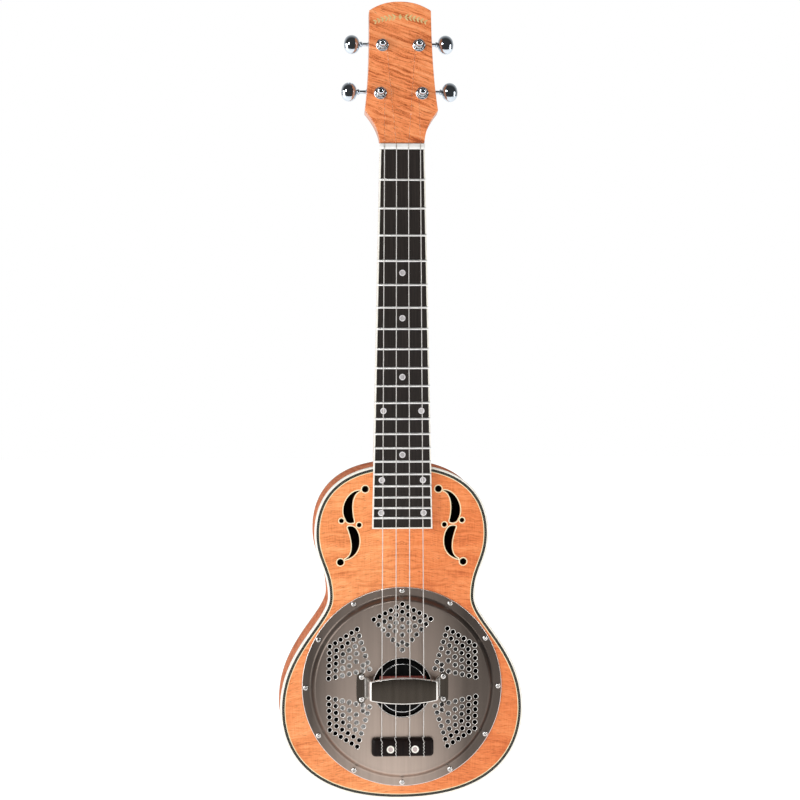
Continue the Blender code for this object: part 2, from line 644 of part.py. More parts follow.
def make_neck(wood):
    verts, faces = plate(head_outline(), post_holes(), SLAB_FRONT, SLAB_BACK)
    neck = add_mesh("neck", [head_point(*v) for v in verts], faces, wood)
    shaft = add_mesh("neck_shaft", *loft(neck_rings()))
    combine(neck, shaft, "UNION")
    low, high = (-TENON_HALF, TENON_FRONT, TENON_END), (TENON_HALF, TENON_BACK, TOP_Z + 4)
    combine(neck, add_mesh("neck_tenon", *box(low, high)), "UNION")


def make_veneer(material, frame):
    add_mesh("headstock_veneer", *plate(head_outline(), post_holes(), 0.0, VENEER), material, parent=frame)


def make_fingerboard(wood, binding_material):
    """The fretted board with its frets seated in it, and the U of binding round it."""
    inset = BINDING_WIDTH + GAP
    top, end = -GAP, BOARD_END + inset
    outline = [(-board_half(top) + inset, top), (-board_half(end) + inset, end),
               (board_half(end) - inset, end), (board_half(top) - inset, top)]
    board = add_mesh("fingerboard", *plate(outline, [], BOARD_FRONT, -GAP), wood)
    verts, faces = [], []
    for n in range(1, FRETS + 1):
        fret_verts, fret_faces = loft(fret_rings(-SCALE_LENGTH * (1 - 2 ** (-n / 12))))
        faces.extend(tuple(len(verts) + i for i in face) for face in fret_faces)
        verts.extend(fret_verts)
    combine(board, add_mesh("fret_wires", verts, faces), "UNION")

    outer = [(-board_half(0), top), (-board_half(BOARD_END), BOARD_END),
             (board_half(BOARD_END), BOARD_END), (board_half(0), top)]
    width = BINDING_WIDTH
    inner_end = BOARD_END + width
    inner = [(board_half(top) - width, top), (board_half(inner_end) - width, inner_end),
             (-board_half(inner_end) + width, inner_end), (-board_half(top) + width, top)]
    outline = outer + inner
    add_mesh("fingerboard_binding", *plate(outline, [], BOARD_FRONT + GAP, -GAP), binding_material)


def fret_rings(z):
    """A crowned wire across the board, let in a little and passing over the binding at both ends."""
    half = board_half(z)
    root, crown = BOARD_FRONT + GAP / 2, BOARD_FRONT - FRET_HEIGHT
    shape = ((-1.0, root), (-0.5, crown), (0.5, crown), (1.0, root))
    return [[(x, y, z + FRET_WIDTH / 2 * across) for across, y in shape] for x in (-half, half)]


def make_nut(material):
    floor = STRING_Y_NUT + STRING_RADIUS + GAP
    half = BOARD_HALF_NUT
    profile = [(-half, -GAP), (-half, NUT_FRONT + 0.4), (-half + 0.6, NUT_FRONT)]
    for step in STRING_STEPS:
        x, width = step * NUT_SPACING, STRING_RADIUS + GAP
        profile += [(x - width, NUT_FRONT), (x - width, floor), (x + width, floor), (x + width, NUT_FRONT)]
    profile += [(half - 0.6, NUT_FRONT), (half, NUT_FRONT + 0.4), (half, -GAP)]
    points, triangles = fill(profile, [])
    verts = [(x, y, z) for z in (0.0, NUT_TOP) for x, y in points]
    faces = [tuple(start + i for i in t) for start in (0, len(points)) for t in triangles]
    start = len(verts)
    verts += [(x, y, z) for z in (0.0, NUT_TOP) for x, y in profile]
    faces += [tuple(start + i for i in f) for f in ring_faces(0, len(profile), len(profile), len(profile))]
    add_mesh("nut", verts, faces, material)


# ---- Strings ---------------------------------------------------------------------------------

def coil_points(post, nut_x, side):
    """Two turns round the post's waist, in the headstock's frame, from the tangent point inwards."""
    x, z, radius = side * post[0], post[1], COIL_RADIUS
    nut_y, nut_z = -5.5, -2.0
    towards = math.atan2(nut_z - z, nut_x - x)
    reach = math.hypot(nut_x - x, nut_z - z)
    hand = -side
    start = towards + hand * math.acos(radius / reach)
    turns, per_turn, pitch = 2, 9, 1.0
    points = []
    for i in range(turns * per_turn + 1):
        angle = start + hand * 2 * math.pi * i / per_turn
        y = nut_y + 0.1 + pitch * i / per_turn
        points.append(head_point(x + radius * math.cos(angle), y, z + radius * math.sin(angle)))
    return points


def make_strings(material):
    for name, step in zip(STRING_NAMES, STRING_STEPS):
        side = 1 if step > 0 else -1
        post = UPPER_POST if abs(step) < 1 else LOWER_POST
        nut_x, saddle_x = step * NUT_SPACING, step * SADDLE_SPACING
        path = coil_points(post, nut_x, side)[::-1]
        path += [(nut_x, STRING_Y_NUT, NUT_TOP), (nut_x, STRING_Y_NUT, 0.0),
                 (saddle_x, STRING_Y_SADDLE, SADDLE_Z), (saddle_x, STRING_Y_ANCHOR, ANCHOR_TOP + 4),
                 (saddle_x, STRING_Y_ANCHOR, ANCHOR_BOTTOM - 1.5)]
        add_mesh(name, *tube(path, STRING_RADIUS), material)


# ---- Tuning machines, in the headstock's frame -----------------------------------------------

def make_housing(name, post, side, material, frame):
    """A die-cast cup, open towards the headstock, with a hole for the button's shaft."""
    x, z = side * post[0], post[1]
    wall, floor = 1.2, 27.5
    inner = rounded_rectangle(x - 6.6, x + 6.6, z - 6.6, z + 10.9, 2.0)
    outer = rounded_rectangle(x - 6.6 - wall, x + 6.6 + wall, z - 6.6 - wall, z + 10.9 + wall, 3.2)
    crown = rounded_rectangle(x - 6.2, x + 6.2, z - 6.2, z + 10.5, 2.2)
    front = SLAB_BACK + GAP
    rings = [[(px, y, pz) for px, pz in outline] for outline, y in
             ((inner, floor), (inner, front), (outer, front), (outer, floor - 0.4), (crown, floor + wall))]
    housing = add_mesh(name, *loft(rings), material, parent=frame)
    axis_z = z + WORM_DISTANCE
    ends = ((x + side * 5, BUTTON_AXIS_Y, axis_z), (x + side * 12, BUTTON_AXIS_Y, axis_z))
    hole = add_mesh(f"{name}_shaft_hole", *tube(ends, 1.95, 12), parent=frame)
    combine(housing, hole, "DIFFERENCE")


def worm_radius(u, angle):
    """Radius of the thread at u along the shaft; angle is 0 on the side that faces the gear."""
    phase = (u / WORM_PITCH - angle / (2 * math.pi)) % 1.0
    away = min(phase, 1.0 - phase) * WORM_PITCH
    height = min(max((0.52 - away) / 0.36, 0.0), 1.0)
    root = WORM_PITCH_RADIUS - DEDENDUM
    return root + (DEDENDUM + ADDENDUM) * height


def make_shaft(name, post, side, button_u, material, frame):
    """Worm, shaft and oval button in one piece, turning about the shaft's own axis."""
    sides = 8
    x, axis_z = side * post[0], post[1] + WORM_DISTANCE
    worm_end, per_pitch = 3.5, 4
    sections = [(-6.2, 1.3, 1.3), (-worm_end - 0.4, 1.3, 1.3)]
    count = round(2 * worm_end / WORM_PITCH * per_pitch)
    sections += [(-worm_end + 2 * worm_end * i / count, None, None) for i in range(count + 1)]
    sections += [(worm_end + 0.4, 1.5, 1.5), (8.2, 1.6, 1.6), (8.2, 2.6, 2.6), (9.3, 2.6, 2.6)]
    sections += [(9.3, 1.6, 1.6)]
    button = ((-7.0, 1.6, 1.6), (-6.7, 2.4, 2.2), (-5.8, 4.6, 2.7), (-3.4, 7.1, 3.4),
              (0.0, 8.0, 3.7), (3.2, 7.3, 3.4), (5.3, 5.0, 2.5), (6.2, 2.4, 1.4))
    sections += [(button_u + step, half_z, half_y) for step, half_z, half_y in button]
    rings = []
    for u, half_z, half_y in sections:
        ring = []
        for i in range(sides):
            angle = 2 * math.pi * i / sides
            if half_z is None:
                high = wide = worm_radius(u, angle)
            else:
                high, wide = half_z, half_y
            y, z = BUTTON_AXIS_Y + wide * math.sin(angle), axis_z - high * math.cos(angle)
            ring.append((x + side * u, y, z))
        rings.append(ring)
    origin = (x, BUTTON_AXIS_Y, axis_z)
    add_mesh(name, *loft(rings), material, origin=origin, parent=frame)


def gear_ring(x, z, y, twist):
    """Trapezoid teeth; with no twist a gap faces the worm."""
    root, tip = GEAR_PITCH_RADIUS - DEDENDUM, GEAR_PITCH_RADIUS + ADDENDUM
    ring = []
    for tooth in range(GEAR_TEETH):
        for offset, radius in ((-0.30, root), (-0.10, tip), (0.10, tip), (0.30, root)):
            angle = math.pi / 2 + twist + 2 * math.pi * (tooth + 0.5 + offset) / GEAR_TEETH
            ring.append((x + radius * math.cos(angle), y, z + radius * math.sin(angle)))
    return ring


def make_post(name, post, side, material, frame):
    """String post with its helical gear, turning about the post's axis."""
    x, z = side * post[0], post[1]
    lead = WORM_PITCH / (2 * math.pi * WORM_PITCH_RADIUS)
    twist = side * GEAR_HALF_WIDTH * lead / GEAR_PITCH_RADIUS
    rings = [gear_ring(x, z, BUTTON_AXIS_Y + end * GEAR_HALF_WIDTH, end * twist) for end in (-1, 1)]
    gear = add_mesh(name, *loft(rings), material, origin=(x, BUTTON_AXIS_Y, z), parent=frame)
    profile = [(0, -9.6), (2.1, -9.5), (3.0, -8.6), (3.0, -6.9), (2.4, -6.2), (2.4, -3.1), (2.9, -2.9),
               (2.9, 20.0), (2.2, 20.0), (2.2, POST_BACK), (0, POST_BACK)]
    rod = add_mesh(f"{name}_rod", *turned(profile, 10, x, z), origin=(x, BUTTON_AXIS_Y, z), parent=frame)
    combine(gear, rod, "UNION")
    ends = ((x, -4.6, z - 5), (x, -4.6, z + 5))
    combine(gear, add_mesh(f"{name}_eye", *tube(ends, 0.6, 6), parent=frame), "DIFFERENCE")


def make_bushing(name, post, side, material, frame):
    """Hex nut, washer and sleeve that line the post's hole from the front."""
    x, z = side * post[0], post[1]
    profile = [(3.2, SLAB_BACK - 0.2), (3.2, -2.7), ("hex", -2.7), ("hex", -1.1),
               (5.15, -1.1), (5.15, -GAP), (3.9, -GAP), (3.9, SLAB_BACK - 0.2)]
    rings = []
    for radius, y in profile:
        ring = []
        for i in range(12):
            angle = 2 * math.pi * i / 12
            reach = radius
            if radius == "hex":
                reach = 4.9 if i % 2 == 0 else 4.9 * math.cos(math.pi / 6)
            ring.append((x + reach * math.cos(angle), y, z + reach * math.sin(angle)))
        rings.append(ring)
    add_mesh(name, *loft(rings, closed=True), material, parent=frame)


def make_tuners(chrome, frame):
    for side, word in ((-1, "left"), (1, "right")):
        for post, button, row in ((UPPER_POST, UPPER_BUTTON, "upper"), (LOWER_POST, LOWER_BUTTON, "lower")):
            place = f"{row}_{word}"
            make_housing(f"tuner_housing_{place}", post, side, chrome, frame)
            make_shaft(f"tuner_shaft_{place}", post, side, button, chrome, frame)
            make_post(f"tuner_post_{place}", post, side, chrome, frame)
            make_bushing(f"tuner_bushing_{place}", post, side, chrome, frame)


# ---- Assembly --------------------------------------------------------------------------------

def headstock_frame():
    """An empty on the veneer's lower edge, tilted back with the headstock."""
    frame = bpy.data.objects.new("headstock_frame", None)
    frame.location = Vector(head_face_origin()) * MM
    frame.rotation_euler = (-TILT, 0, 0)
    bpy.context.scene.collection.objects.link(frame)
    return frame


def main():
    for thing in list(bpy.data.objects):
        bpy.data.objects.remove(thing, do_unlink=True)
    maple = make_material("curly_maple", (0.72, 0.33, 0.10), 0.25)
    side_maple = make_material("side_maple", (0.55, 0.26, 0.13), 0.3)
    spruce = make_material("inner_wood", (0.70, 0.52, 0.32), 0.7)
    rosewood = make_material("rosewood", (0.05, 0.03, 0.025), 0.45)
    ivory = make_material("ivory_plastic", (0.85, 0.82, 0.72), 0.35)
    bone = make_material("bone", (0.88, 0.87, 0.82), 0.4)
    nickel = make_material("brushed_nickel", (0.42, 0.38, 0.34), 0.35, 1.0)
    aluminium = make_material("spun_aluminium", (0.80, 0.80, 0.80), 0.3, 1.0)
    chrome = make_material("chrome", (0.75, 0.75, 0.75), 0.1, 1.0)
    steel = make_material("plated_steel", (0.62, 0.60, 0.58), 0.2, 1.0)
    nylon = make_material("string_plastic", (0.85, 0.82, 0.78), 0.3)
    black = make_material("ebonised_maple", (0.02, 0.02, 0.02), 0.4)
    saddle_wood = make_material("saddle_wood", (0.32, 0.09, 0.06), 0.4)
    frame = headstock_frame()

    make_plates(maple, side_maple)
    make_sides(side_maple)
    make_bindings(ivory)
    make_linings(spruce)
    make_blocks(spruce)
    make_sound_well(spruce)
    make_cone(aluminium)
    make_biscuit(black, saddle_wood, steel)
    make_coverplate(nickel)
    make_cover_screws(steel)
    make_handrest(nickel)
    make_string_anchor(rosewood)
    make_neck(side_maple)
    make_veneer(maple, frame)
    make_fingerboard(rosewood, ivory)
    make_nut(bone)
    make_strings(nylon)
    make_tuners(chrome, frame)


main()
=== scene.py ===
import math

import bmesh
import bpy
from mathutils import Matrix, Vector
from mathutils.geometry import tessellate_polygon


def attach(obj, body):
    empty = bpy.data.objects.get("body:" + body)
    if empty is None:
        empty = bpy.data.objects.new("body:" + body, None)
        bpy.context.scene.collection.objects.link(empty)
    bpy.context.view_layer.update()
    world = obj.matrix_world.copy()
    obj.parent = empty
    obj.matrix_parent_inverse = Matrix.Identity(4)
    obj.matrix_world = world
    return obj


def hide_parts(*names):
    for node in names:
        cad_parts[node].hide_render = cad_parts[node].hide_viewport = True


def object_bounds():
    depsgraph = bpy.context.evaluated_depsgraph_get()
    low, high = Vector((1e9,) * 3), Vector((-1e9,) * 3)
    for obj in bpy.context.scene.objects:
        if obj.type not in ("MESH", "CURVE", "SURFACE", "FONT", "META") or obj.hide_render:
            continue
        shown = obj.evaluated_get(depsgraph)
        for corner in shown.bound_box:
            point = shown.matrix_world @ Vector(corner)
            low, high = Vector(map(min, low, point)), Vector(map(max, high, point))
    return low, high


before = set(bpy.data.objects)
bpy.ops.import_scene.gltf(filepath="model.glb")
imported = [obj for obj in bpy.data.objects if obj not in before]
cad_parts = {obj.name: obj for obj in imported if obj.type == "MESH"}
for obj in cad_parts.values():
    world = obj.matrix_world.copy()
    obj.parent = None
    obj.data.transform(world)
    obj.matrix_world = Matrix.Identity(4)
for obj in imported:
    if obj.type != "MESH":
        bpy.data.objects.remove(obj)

CAD_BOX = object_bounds()
MM = 0.001

# Scale and strings
SCALE_LENGTH = 431.8
COMPENSATION = 1.5
SADDLE_Z = -SCALE_LENGTH - COMPENSATION
STRING_RADIUS = 0.36
NUT_SPACING, SADDLE_SPACING = 9.6, 11.3
STRING_Y_NUT, STRING_Y_SADDLE, STRING_Y_ANCHOR = -7.85, -13.0, -9.0
STRING_STEPS = (-1.5, -0.5, 0.5, 1.5)
STRING_NAMES = ("low_left", "inner_left", "inner_right", "low_right")

# Body
BODY_DEPTH, PLATE = 60.0, 3.0
TAIL_Z, LOWER_Z, WAIST_Z, UPPER_Z, TOP_Z = -525.0, -451.0, -360.5, -309.0, -253.0
BODY_MIDDLE_Z = -370.0
LOWER_HALF, WAIST_HALF, UPPER_HALF = 98.5, 59.5, 70.5
LOWER_SIDE, WAIST_SIDE, UPPER_SIDE = (LOWER_HALF, LOWER_Z), (WAIST_HALF, WAIST_Z), (UPPER_HALF, UPPER_Z)
BODY_CURVES = (
    ((0, TAIL_Z), (78, TAIL_Z), (LOWER_HALF, LOWER_Z - 34), LOWER_SIDE),
    (LOWER_SIDE, (LOWER_HALF, LOWER_Z + 47), (WAIST_HALF, WAIST_Z - 19), WAIST_SIDE),
    (WAIST_SIDE, (WAIST_HALF, WAIST_Z + 22.5), (UPPER_HALF, UPPER_Z - 22.5), UPPER_SIDE),
    (UPPER_SIDE, (UPPER_HALF, UPPER_Z + 30), (52, TOP_Z), (0, TOP_Z)),
)
CURVE_STEPS = 26
BINDING_WIDTH, BINDING_HEIGHT = 1.5, 6.0
PLATE_INSET, SIDE_INNER = 1.6, 2.8
ROPE_INSET, ROPE_WIDTH, ROPE_PERIOD, LINE_WIDTH = 1.55, 2.0, 1.45, 0.65
INLAY = 0.03  # how far inlays stand proud of the wood they are let into

# Cone, coverplate and bridge
COVER_RADIUS, COVER_SHEET, COVER_RIM, COVER_RAISED = 81.0, 0.9, 75.0, 69.9
COVER_BACK_Y, COVER_RISE, COVER_HOLE = -0.3, 4.7, 23.6
RIM_Y = COVER_BACK_Y - COVER_SHEET
RAISED_Y = RIM_Y - COVER_RISE
RIM_SCREW_CIRCLE = 78.0
CONE_OPENING, CONE_RADIUS, CONE_SHEET, CONE_FLAT = 73.0, 71.5, 0.7, 20.5
CONE_APEX_Y, CONE_RIM_Y = -3.7, 7.0
PAINTED_SHADE_RADIUS = 26.5  # painted shade: the cone's middle is coloured black
BISCUIT_RADIUS, BISCUIT_FRONT = 19.7, -9.0
SADDLE_CREST, SADDLE_HALF_WIDTH, SADDLE_HALF_BASE = -13.2, 18.6, 10.0
GROUP_ANGLES = (90, 30, 150, -30, -150)
CHEVRON_STEPS = (5, 4, 3, 2, 1, 1, 0)
CHEVRON_APEX, CHEVRON_PITCH = 67.7, 6.17
CHEVRON_END, CHEVRON_END_PITCH, CHEVRON_HALF = 55.5, 4.15, 23.0
PERFORATION_RADIUS = 1.75
PLATE_SCREW_HOLE = 1.6

# Handrest and string anchor
REST_TOP_Y, REST_SHEET = -25.0, 1.0
REST_SCREW_X, REST_SCREW_Z = 33.0, 9.1
ANCHOR_TOP, ANCHOR_BOTTOM, ANCHOR_HALF, ANCHOR_FRONT = -473.7, -488.5, 25.0, -12.0
ANCHOR_DOT_X, ANCHOR_DOT_Z = 9.9, -482.5

# Neck and fingerboard
BOARD_END, BOARD_HALF_NUT, BOARD_HALF_END = -304.6, 18.0, 24.3
BOARD_FRONT, BOARD_BACK = -6.3, -0.3
FRETS, FRET_WIDTH, FRET_HEIGHT = 20, 1.9, 1.0
BOARD_BINDING = 1.15
NECK_DEPTH_NUT, NECK_DEPTH_BODY, HEEL_DEPTH = 14.0, 16.5, 56.0
NUT_TOP, NUT_FRONT = 4.7, -8.2

# Headstock, in its own frame
TILT = math.radians(12.0)
CREST_RISE, CREST_POWER = 7.5, 2.3
FRONT_AXIS, HEAD_AXIS = Vector((0, 1, 0)), Vector((0, math.cos(TILT), -math.sin(TILT)))
VENEER, SLAB_FRONT, SLAB_BACK, HEAD_START = 1.8, 2.1, 14.1, 6.2
VENEER_FOOT, SLAB_FOOT = -1.1, 2.0
BUTTON_AXIS_Y, WORM_DISTANCE = 22.0, 7.3
WORM_PITCH_RADIUS, GEAR_TEETH, GEAR_HALF_WIDTH = 2.1, 14, 2.6
GEAR_PITCH_RADIUS = WORM_DISTANCE - WORM_PITCH_RADIUS
WORM_PITCH = 2 * math.pi * GEAR_PITCH_RADIUS / GEAR_TEETH
ADDENDUM, DEDENDUM = 0.4, 0.6
UPPER_POST, LOWER_POST = (14.8, 79.7), (16.8, 39.7)
UPPER_BUTTON, LOWER_BUTTON = 23.8, 24.5
BUSHING_HOLE = 4.35
CASE_HALF, CASE_TOP, CASE_FLOOR, CASE_BACK = 6.6, 10.9, 27.3, 28.7

# Camera and lights, in metres, watts and degrees
LENS_MM, SENSOR_MM = 114.3, 36.0
CAMERA_PLACE, CAMERA_TARGET = (-0.1395, -2.040, -0.107), (-0.0015, 0.0, -0.2010)
MIDDLE = (0.0, 0.0, -0.26)
AREA_LIGHTS = (("key_left", (-1.5, -1.1, 0.2), (1.0, 1.4), 20),
               ("fill_right", (1.3, -1.2, 0.3), (0.4, 0.9), 6))
SPOT_LIGHTS = (("headstock_spot", (-0.5, -1.1, 0.75), (0.0, 0.02, 0.07), 9.0, 12),
               ("resonator_spot", (-0.15, -0.95, 0.32), (0.0, 0.0, SADDLE_Z * MM), 11.0, 9))
WHITE = (1.0, 1.0, 1.0, 1.0)
FLOOR_HALF, FLOOR_GAP, FLOOR_GLOW = 4.0, 0.0005, 1.05


# ---- Finishes --------------------------------------------------------------------------------

class Finish:
    """A Principled material whose nodes are added one by one. Positions come in millimetres."""

    def __init__(self, name, colour, roughness, metallic=0.0, **sockets):
        self.material = bpy.data.materials.new(name)
        self.material.use_nodes = True
        self.tree = self.material.node_tree
        self.shader = self.tree.nodes["Principled BSDF"]
        self.set("Base Color", (*colour, 1.0))
        self.set("Roughness", roughness)
        self.set("Metallic", metallic)
        for socket, value in sockets.items():
            self.set(socket.replace("_", " ").title().replace("Ior", "IOR"), value)

    def set(self, socket, value):
        self.put(self.shader.inputs[socket], value)

    def put(self, socket, value):
        if isinstance(value, bpy.types.NodeSocket):
            self.tree.links.new(value, socket)
        else:
            socket.default_value = value

    def node(self, kind, inputs, **settings):
        node = self.tree.nodes.new(kind)
        for key, value in settings.items():
            setattr(node, key, value)
        for socket, value in inputs.items():
            self.put(node.inputs[socket], value)
        return node

    def maths(self, operation, a, b=0.0, c=0.0):
        return self.node("ShaderNodeMath", {0: a, 1: b, 2: c}, operation=operation).outputs[0]

    def times(self, a, b, more=None):
        """a times b, plus more where it is given."""
        return self.maths("MULTIPLY", a, b) if more is None else self.maths("MULTIPLY_ADD", a, b, more)

    def position(self, mirrored=False):
        """x, y and z in millimetres, with x the same on both sides of the centreline if mirrored."""
        place = self.node("ShaderNodeTexCoord", {}).outputs["Object"]
        scaled = self.node("ShaderNodeVectorMath", {0: place, 1: (1 / MM,) * 3}, operation="MULTIPLY")
        parts = self.node("ShaderNodeSeparateXYZ", {0: scaled.outputs[0]}).outputs
        x = self.maths("ABSOLUTE", parts[0]) if mirrored else parts[0]
        return x, parts[1], parts[2]

    def along(self):
        """Distance along and across a strip in millimetres, from the map that piece() lays."""
        uv = self.node("ShaderNodeUVMap", {}, uv_map="along").outputs[0]
        parts = self.node("ShaderNodeSeparateXYZ", {0: uv}).outputs
        return parts[0], parts[1]

    def point(self, x, y, z, sizes):
        """A vector whose parts are x, y and z over the given feature sizes."""
        shares = [self.maths("DIVIDE", part, size) for part, size in zip((x, y, z), sizes)]
        return self.node("ShaderNodeCombineXYZ", dict(enumerate(shares))).outputs[0]

    def noise(self, vector, detail=2.0, roughness=0.5, distortion=0.0):
        inputs = {"Vector": vector, "Scale": 1.0, "Detail": detail, "Roughness": roughness,
                  "Distortion": distortion}
        return self.node("ShaderNodeTexNoise", inputs).outputs["Fac"]

    def ramp(self, value, stops):
        node = self.node("ShaderNodeValToRGB", {"Fac": value})
        band = node.color_ramp
        while len(band.elements) < len(stops):
            band.elements.new(0.5)
        for element, (place, colour) in zip(band.elements, stops):
            element.position = place
            element.color = (*colour, 1.0)
        return node.outputs["Color"]

    def cloud(self, sizes, detail=2.0, roughness=0.5, distortion=0.0):
        """Noise in the piece's own space, with features of the given sizes along x, y and z."""
        return self.noise(self.point(*self.position(), sizes), detail, roughness, distortion)

    def blend(self, value, low, high, dark, light):
        """From the dark colour at low to the light one at high."""
        return self.ramp(self.span(value, low, high), ((0.0, dark), (1.0, light)))

    def span(self, value, low, high, to_low=0.0, to_high=1.0):
        inputs = {"Value": value, "From Min": low, "From Max": high, "To Min": to_low,
                  "To Max": to_high}
        return self.node("ShaderNodeMapRange", inputs).outputs[0]

    def mix(self, share, a, b, blend="MIX"):
        node = self.tree.nodes.new("ShaderNodeMix")
        node.data_type = "RGBA"
        node.blend_type = blend
        for socket, value in zip((node.inputs[0], node.inputs[6], node.inputs[7]), (share, a, b)):
            self.put(socket, value)
        return node.outputs[2]

    def bump(self, height, depth, strength=1.0):
        """Bump of the given depth in millimetres."""
        inputs = {"Height": height, "Strength": strength, "Distance": depth * MM}
        self.set("Normal", self.node("ShaderNodeBump", inputs).outputs[0])


def grey(value):
    return (value, value, value)


def flamed_maple(name, stops, mirrored=True, tilt=0.0, strip=False, wave=3.0,
                 shares=(0.30, 0.34, 0.18, 0.18), shine=0.45, seam=None, wander_mm=9.0):
    """Gloss over curly maple: wavy streaks that run across the fine grain, with dark flecks.

    Right of the seam's centreline, and towards the outer edges on both sides, the colour is multiplied
    deeper by the given factors.
    """
    finish = Finish(name, stops[1][1], 0.34, specular_ior_level=0.6 * shine, coat_weight=shine,
                    coat_roughness=0.08, coat_ior=1.4)
    if strip:
        z, x = finish.along()
        y = 0.0
    else:
        x, y, z = finish.position(mirrored)
    wander = finish.noise(finish.point(x, y, z, (26, 26, 13)))
    waves = finish.times(x, tilt, finish.times(wander, wander_mm, z))
    broad = finish.noise(finish.point(x, y, waves, (34, 34, wave)), 3, 0.6)
    narrow = finish.noise(finish.point(x, y, waves, (9, 9, wave * 0.24)), 3, 0.65)
    patches = finish.noise(finish.point(x, y, z, (30, 30, 24)))
    grain = finish.noise(finish.point(x, y, z, (0.5, 0.5, 14)), 2, 0.6)
    value = 0.0
    for part, share in zip((broad, narrow, patches, grain), shares):
        value = finish.times(part, share, value)
    colour = finish.ramp(finish.span(value, 0.415, 0.585), stops)
    flecks = finish.noise(finish.point(x, y, waves, (5.5, 5.5, 0.65)))
    dark = tuple(0.6 * part for part in stops[0][1])
    colour = finish.mix(finish.span(flecks, 0.60, 0.70, 0.0, 0.7), colour, (*dark, 1.0))
    if seam:
        half = finish.span(finish.position()[0], -12.0, 14.0)
        edges = finish.span(x, 45.0, 95.0, 0.0, 0.35)
        deeper = finish.maths("MINIMUM", finish.times(half, 0.75, edges), 1.0)
        colour = finish.mix(deeper, colour, (*seam, 1.0), "MULTIPLY")
    finish.set("Base Color", colour)
    finish.set("Roughness", finish.span(broad, 0.3, 0.7, 0.40, 0.28))
    finish.bump(grain, 0.02, 0.5)
    return finish.material


def plain_wood(name, dark, light, roughness, ring=1.6, coat=0.0, gloss=0.25):
    """Straight-grained wood with growth lines and pores that run along z."""
    finish = Finish(name, light, roughness, specular_ior_level=gloss, coat_weight=coat,
                    coat_roughness=0.15)
    lines = finish.cloud((ring, ring, 60), 3, 0.6, 0.4)
    pores = finish.cloud((0.28, 0.28, 5), 2, 0.7)
    value = finish.times(pores, 0.35, finish.times(lines, 0.65))
    finish.set("Base Color", finish.blend(value, 0.34, 0.66, dark, light))
    finish.set("Roughness", finish.span(pores, 0.35, 0.65, roughness + 0.10, roughness - 0.06))
    finish.bump(pores, 0.05, 0.4)
    return finish.material


def moulded(name, colour, shade, roughness, clouds=9.0):
    """Plastic, bone or shell: faint clouds of colour and a polish that isn't quite even."""
    finish = Finish(name, colour, roughness)
    cloud = finish.cloud((clouds, clouds, clouds * 2), 3, 0.6)
    wear = finish.cloud((0.9, 0.9, 1.4))
    finish.set("Base Color", finish.blend(cloud, 0.35, 0.65, shade, colour))
    finish.set("Roughness", finish.span(wear, 0.3, 0.7, roughness - 0.05, roughness + 0.08))
    finish.bump(wear, 0.01, 0.3)
    return finish.material


def radius_from_saddle(finish):
    """x, height above the saddle and distance from the cone's axis, in millimetres."""
    x, _, z = finish.position()
    height = finish.maths("SUBTRACT", z, SADDLE_Z)
    squares = finish.times(height, height, finish.times(x, x))
    return x, height, finish.maths("SQRT", squares)


def painted_plate_shading(finish, brushing):
    """The round plate's tone as painted reflection and shade: lighter towards the bottom, darker towards
    the top, the sides (the right most) and the rim.
    """
    x, height, radius = radius_from_saddle(finish)
    lengthwise = finish.times(height, -0.0031, 0.525)
    sideways = finish.times(finish.times(x, x), -0.00020, finish.times(x, -0.0042, 1.0))
    sideways = finish.maths("MAXIMUM", sideways, 0.24)
    rim = finish.span(radius, COVER_RAISED - 3.0, COVER_RIM, 1.0, 0.82)
    sheen = finish.times(finish.times(lengthwise, sideways), rim)
    return finish.times(sheen, finish.times(brushing, 0.16, 0.92))


def brushed(name, dark, light, roughness, plate=False):
    """Satin nickel, brushed up and down."""
    finish = Finish(name, light, roughness, 1.0)
    strokes = finish.cloud((0.2, 0.5, 26), 3, 0.7)
    bands = finish.cloud((4.0, 6, 160))
    tone = finish.span(finish.times(strokes, 0.45, finish.times(bands, 0.55)), 0.36, 0.64)
    # On the round plate the tone also carries painted reflection and shade.
    if plate:
        tone = painted_plate_shading(finish, tone)
    finish.set("Base Color", finish.ramp(tone, ((0.0, dark), (1.0, light))))
    finish.set("Roughness", finish.span(strokes, 0.3, 0.7, roughness - 0.06, roughness + 0.08))
    finish.bump(strokes, 0.008, 0.45)
    return finish.material


def polished(name, colour, roughness):
    """Plated metal: a clear mirror with faint polishing marks."""
    finish = Finish(name, colour, roughness, 1.0)
    marks = finish.cloud((0.5, 0.5, 3.0), 3, 0.65)
    haze = finish.cloud((4, 4, 4))
    tone = tuple(0.86 * part for part in colour)
    finish.set("Base Color", finish.blend(haze, 0.3, 0.7, tone, colour))
    finish.set("Roughness", finish.span(marks, 0.3, 0.7, roughness * 0.7, roughness * 1.5))
    finish.bump(marks, 0.003, 0.3)
    return finish.material


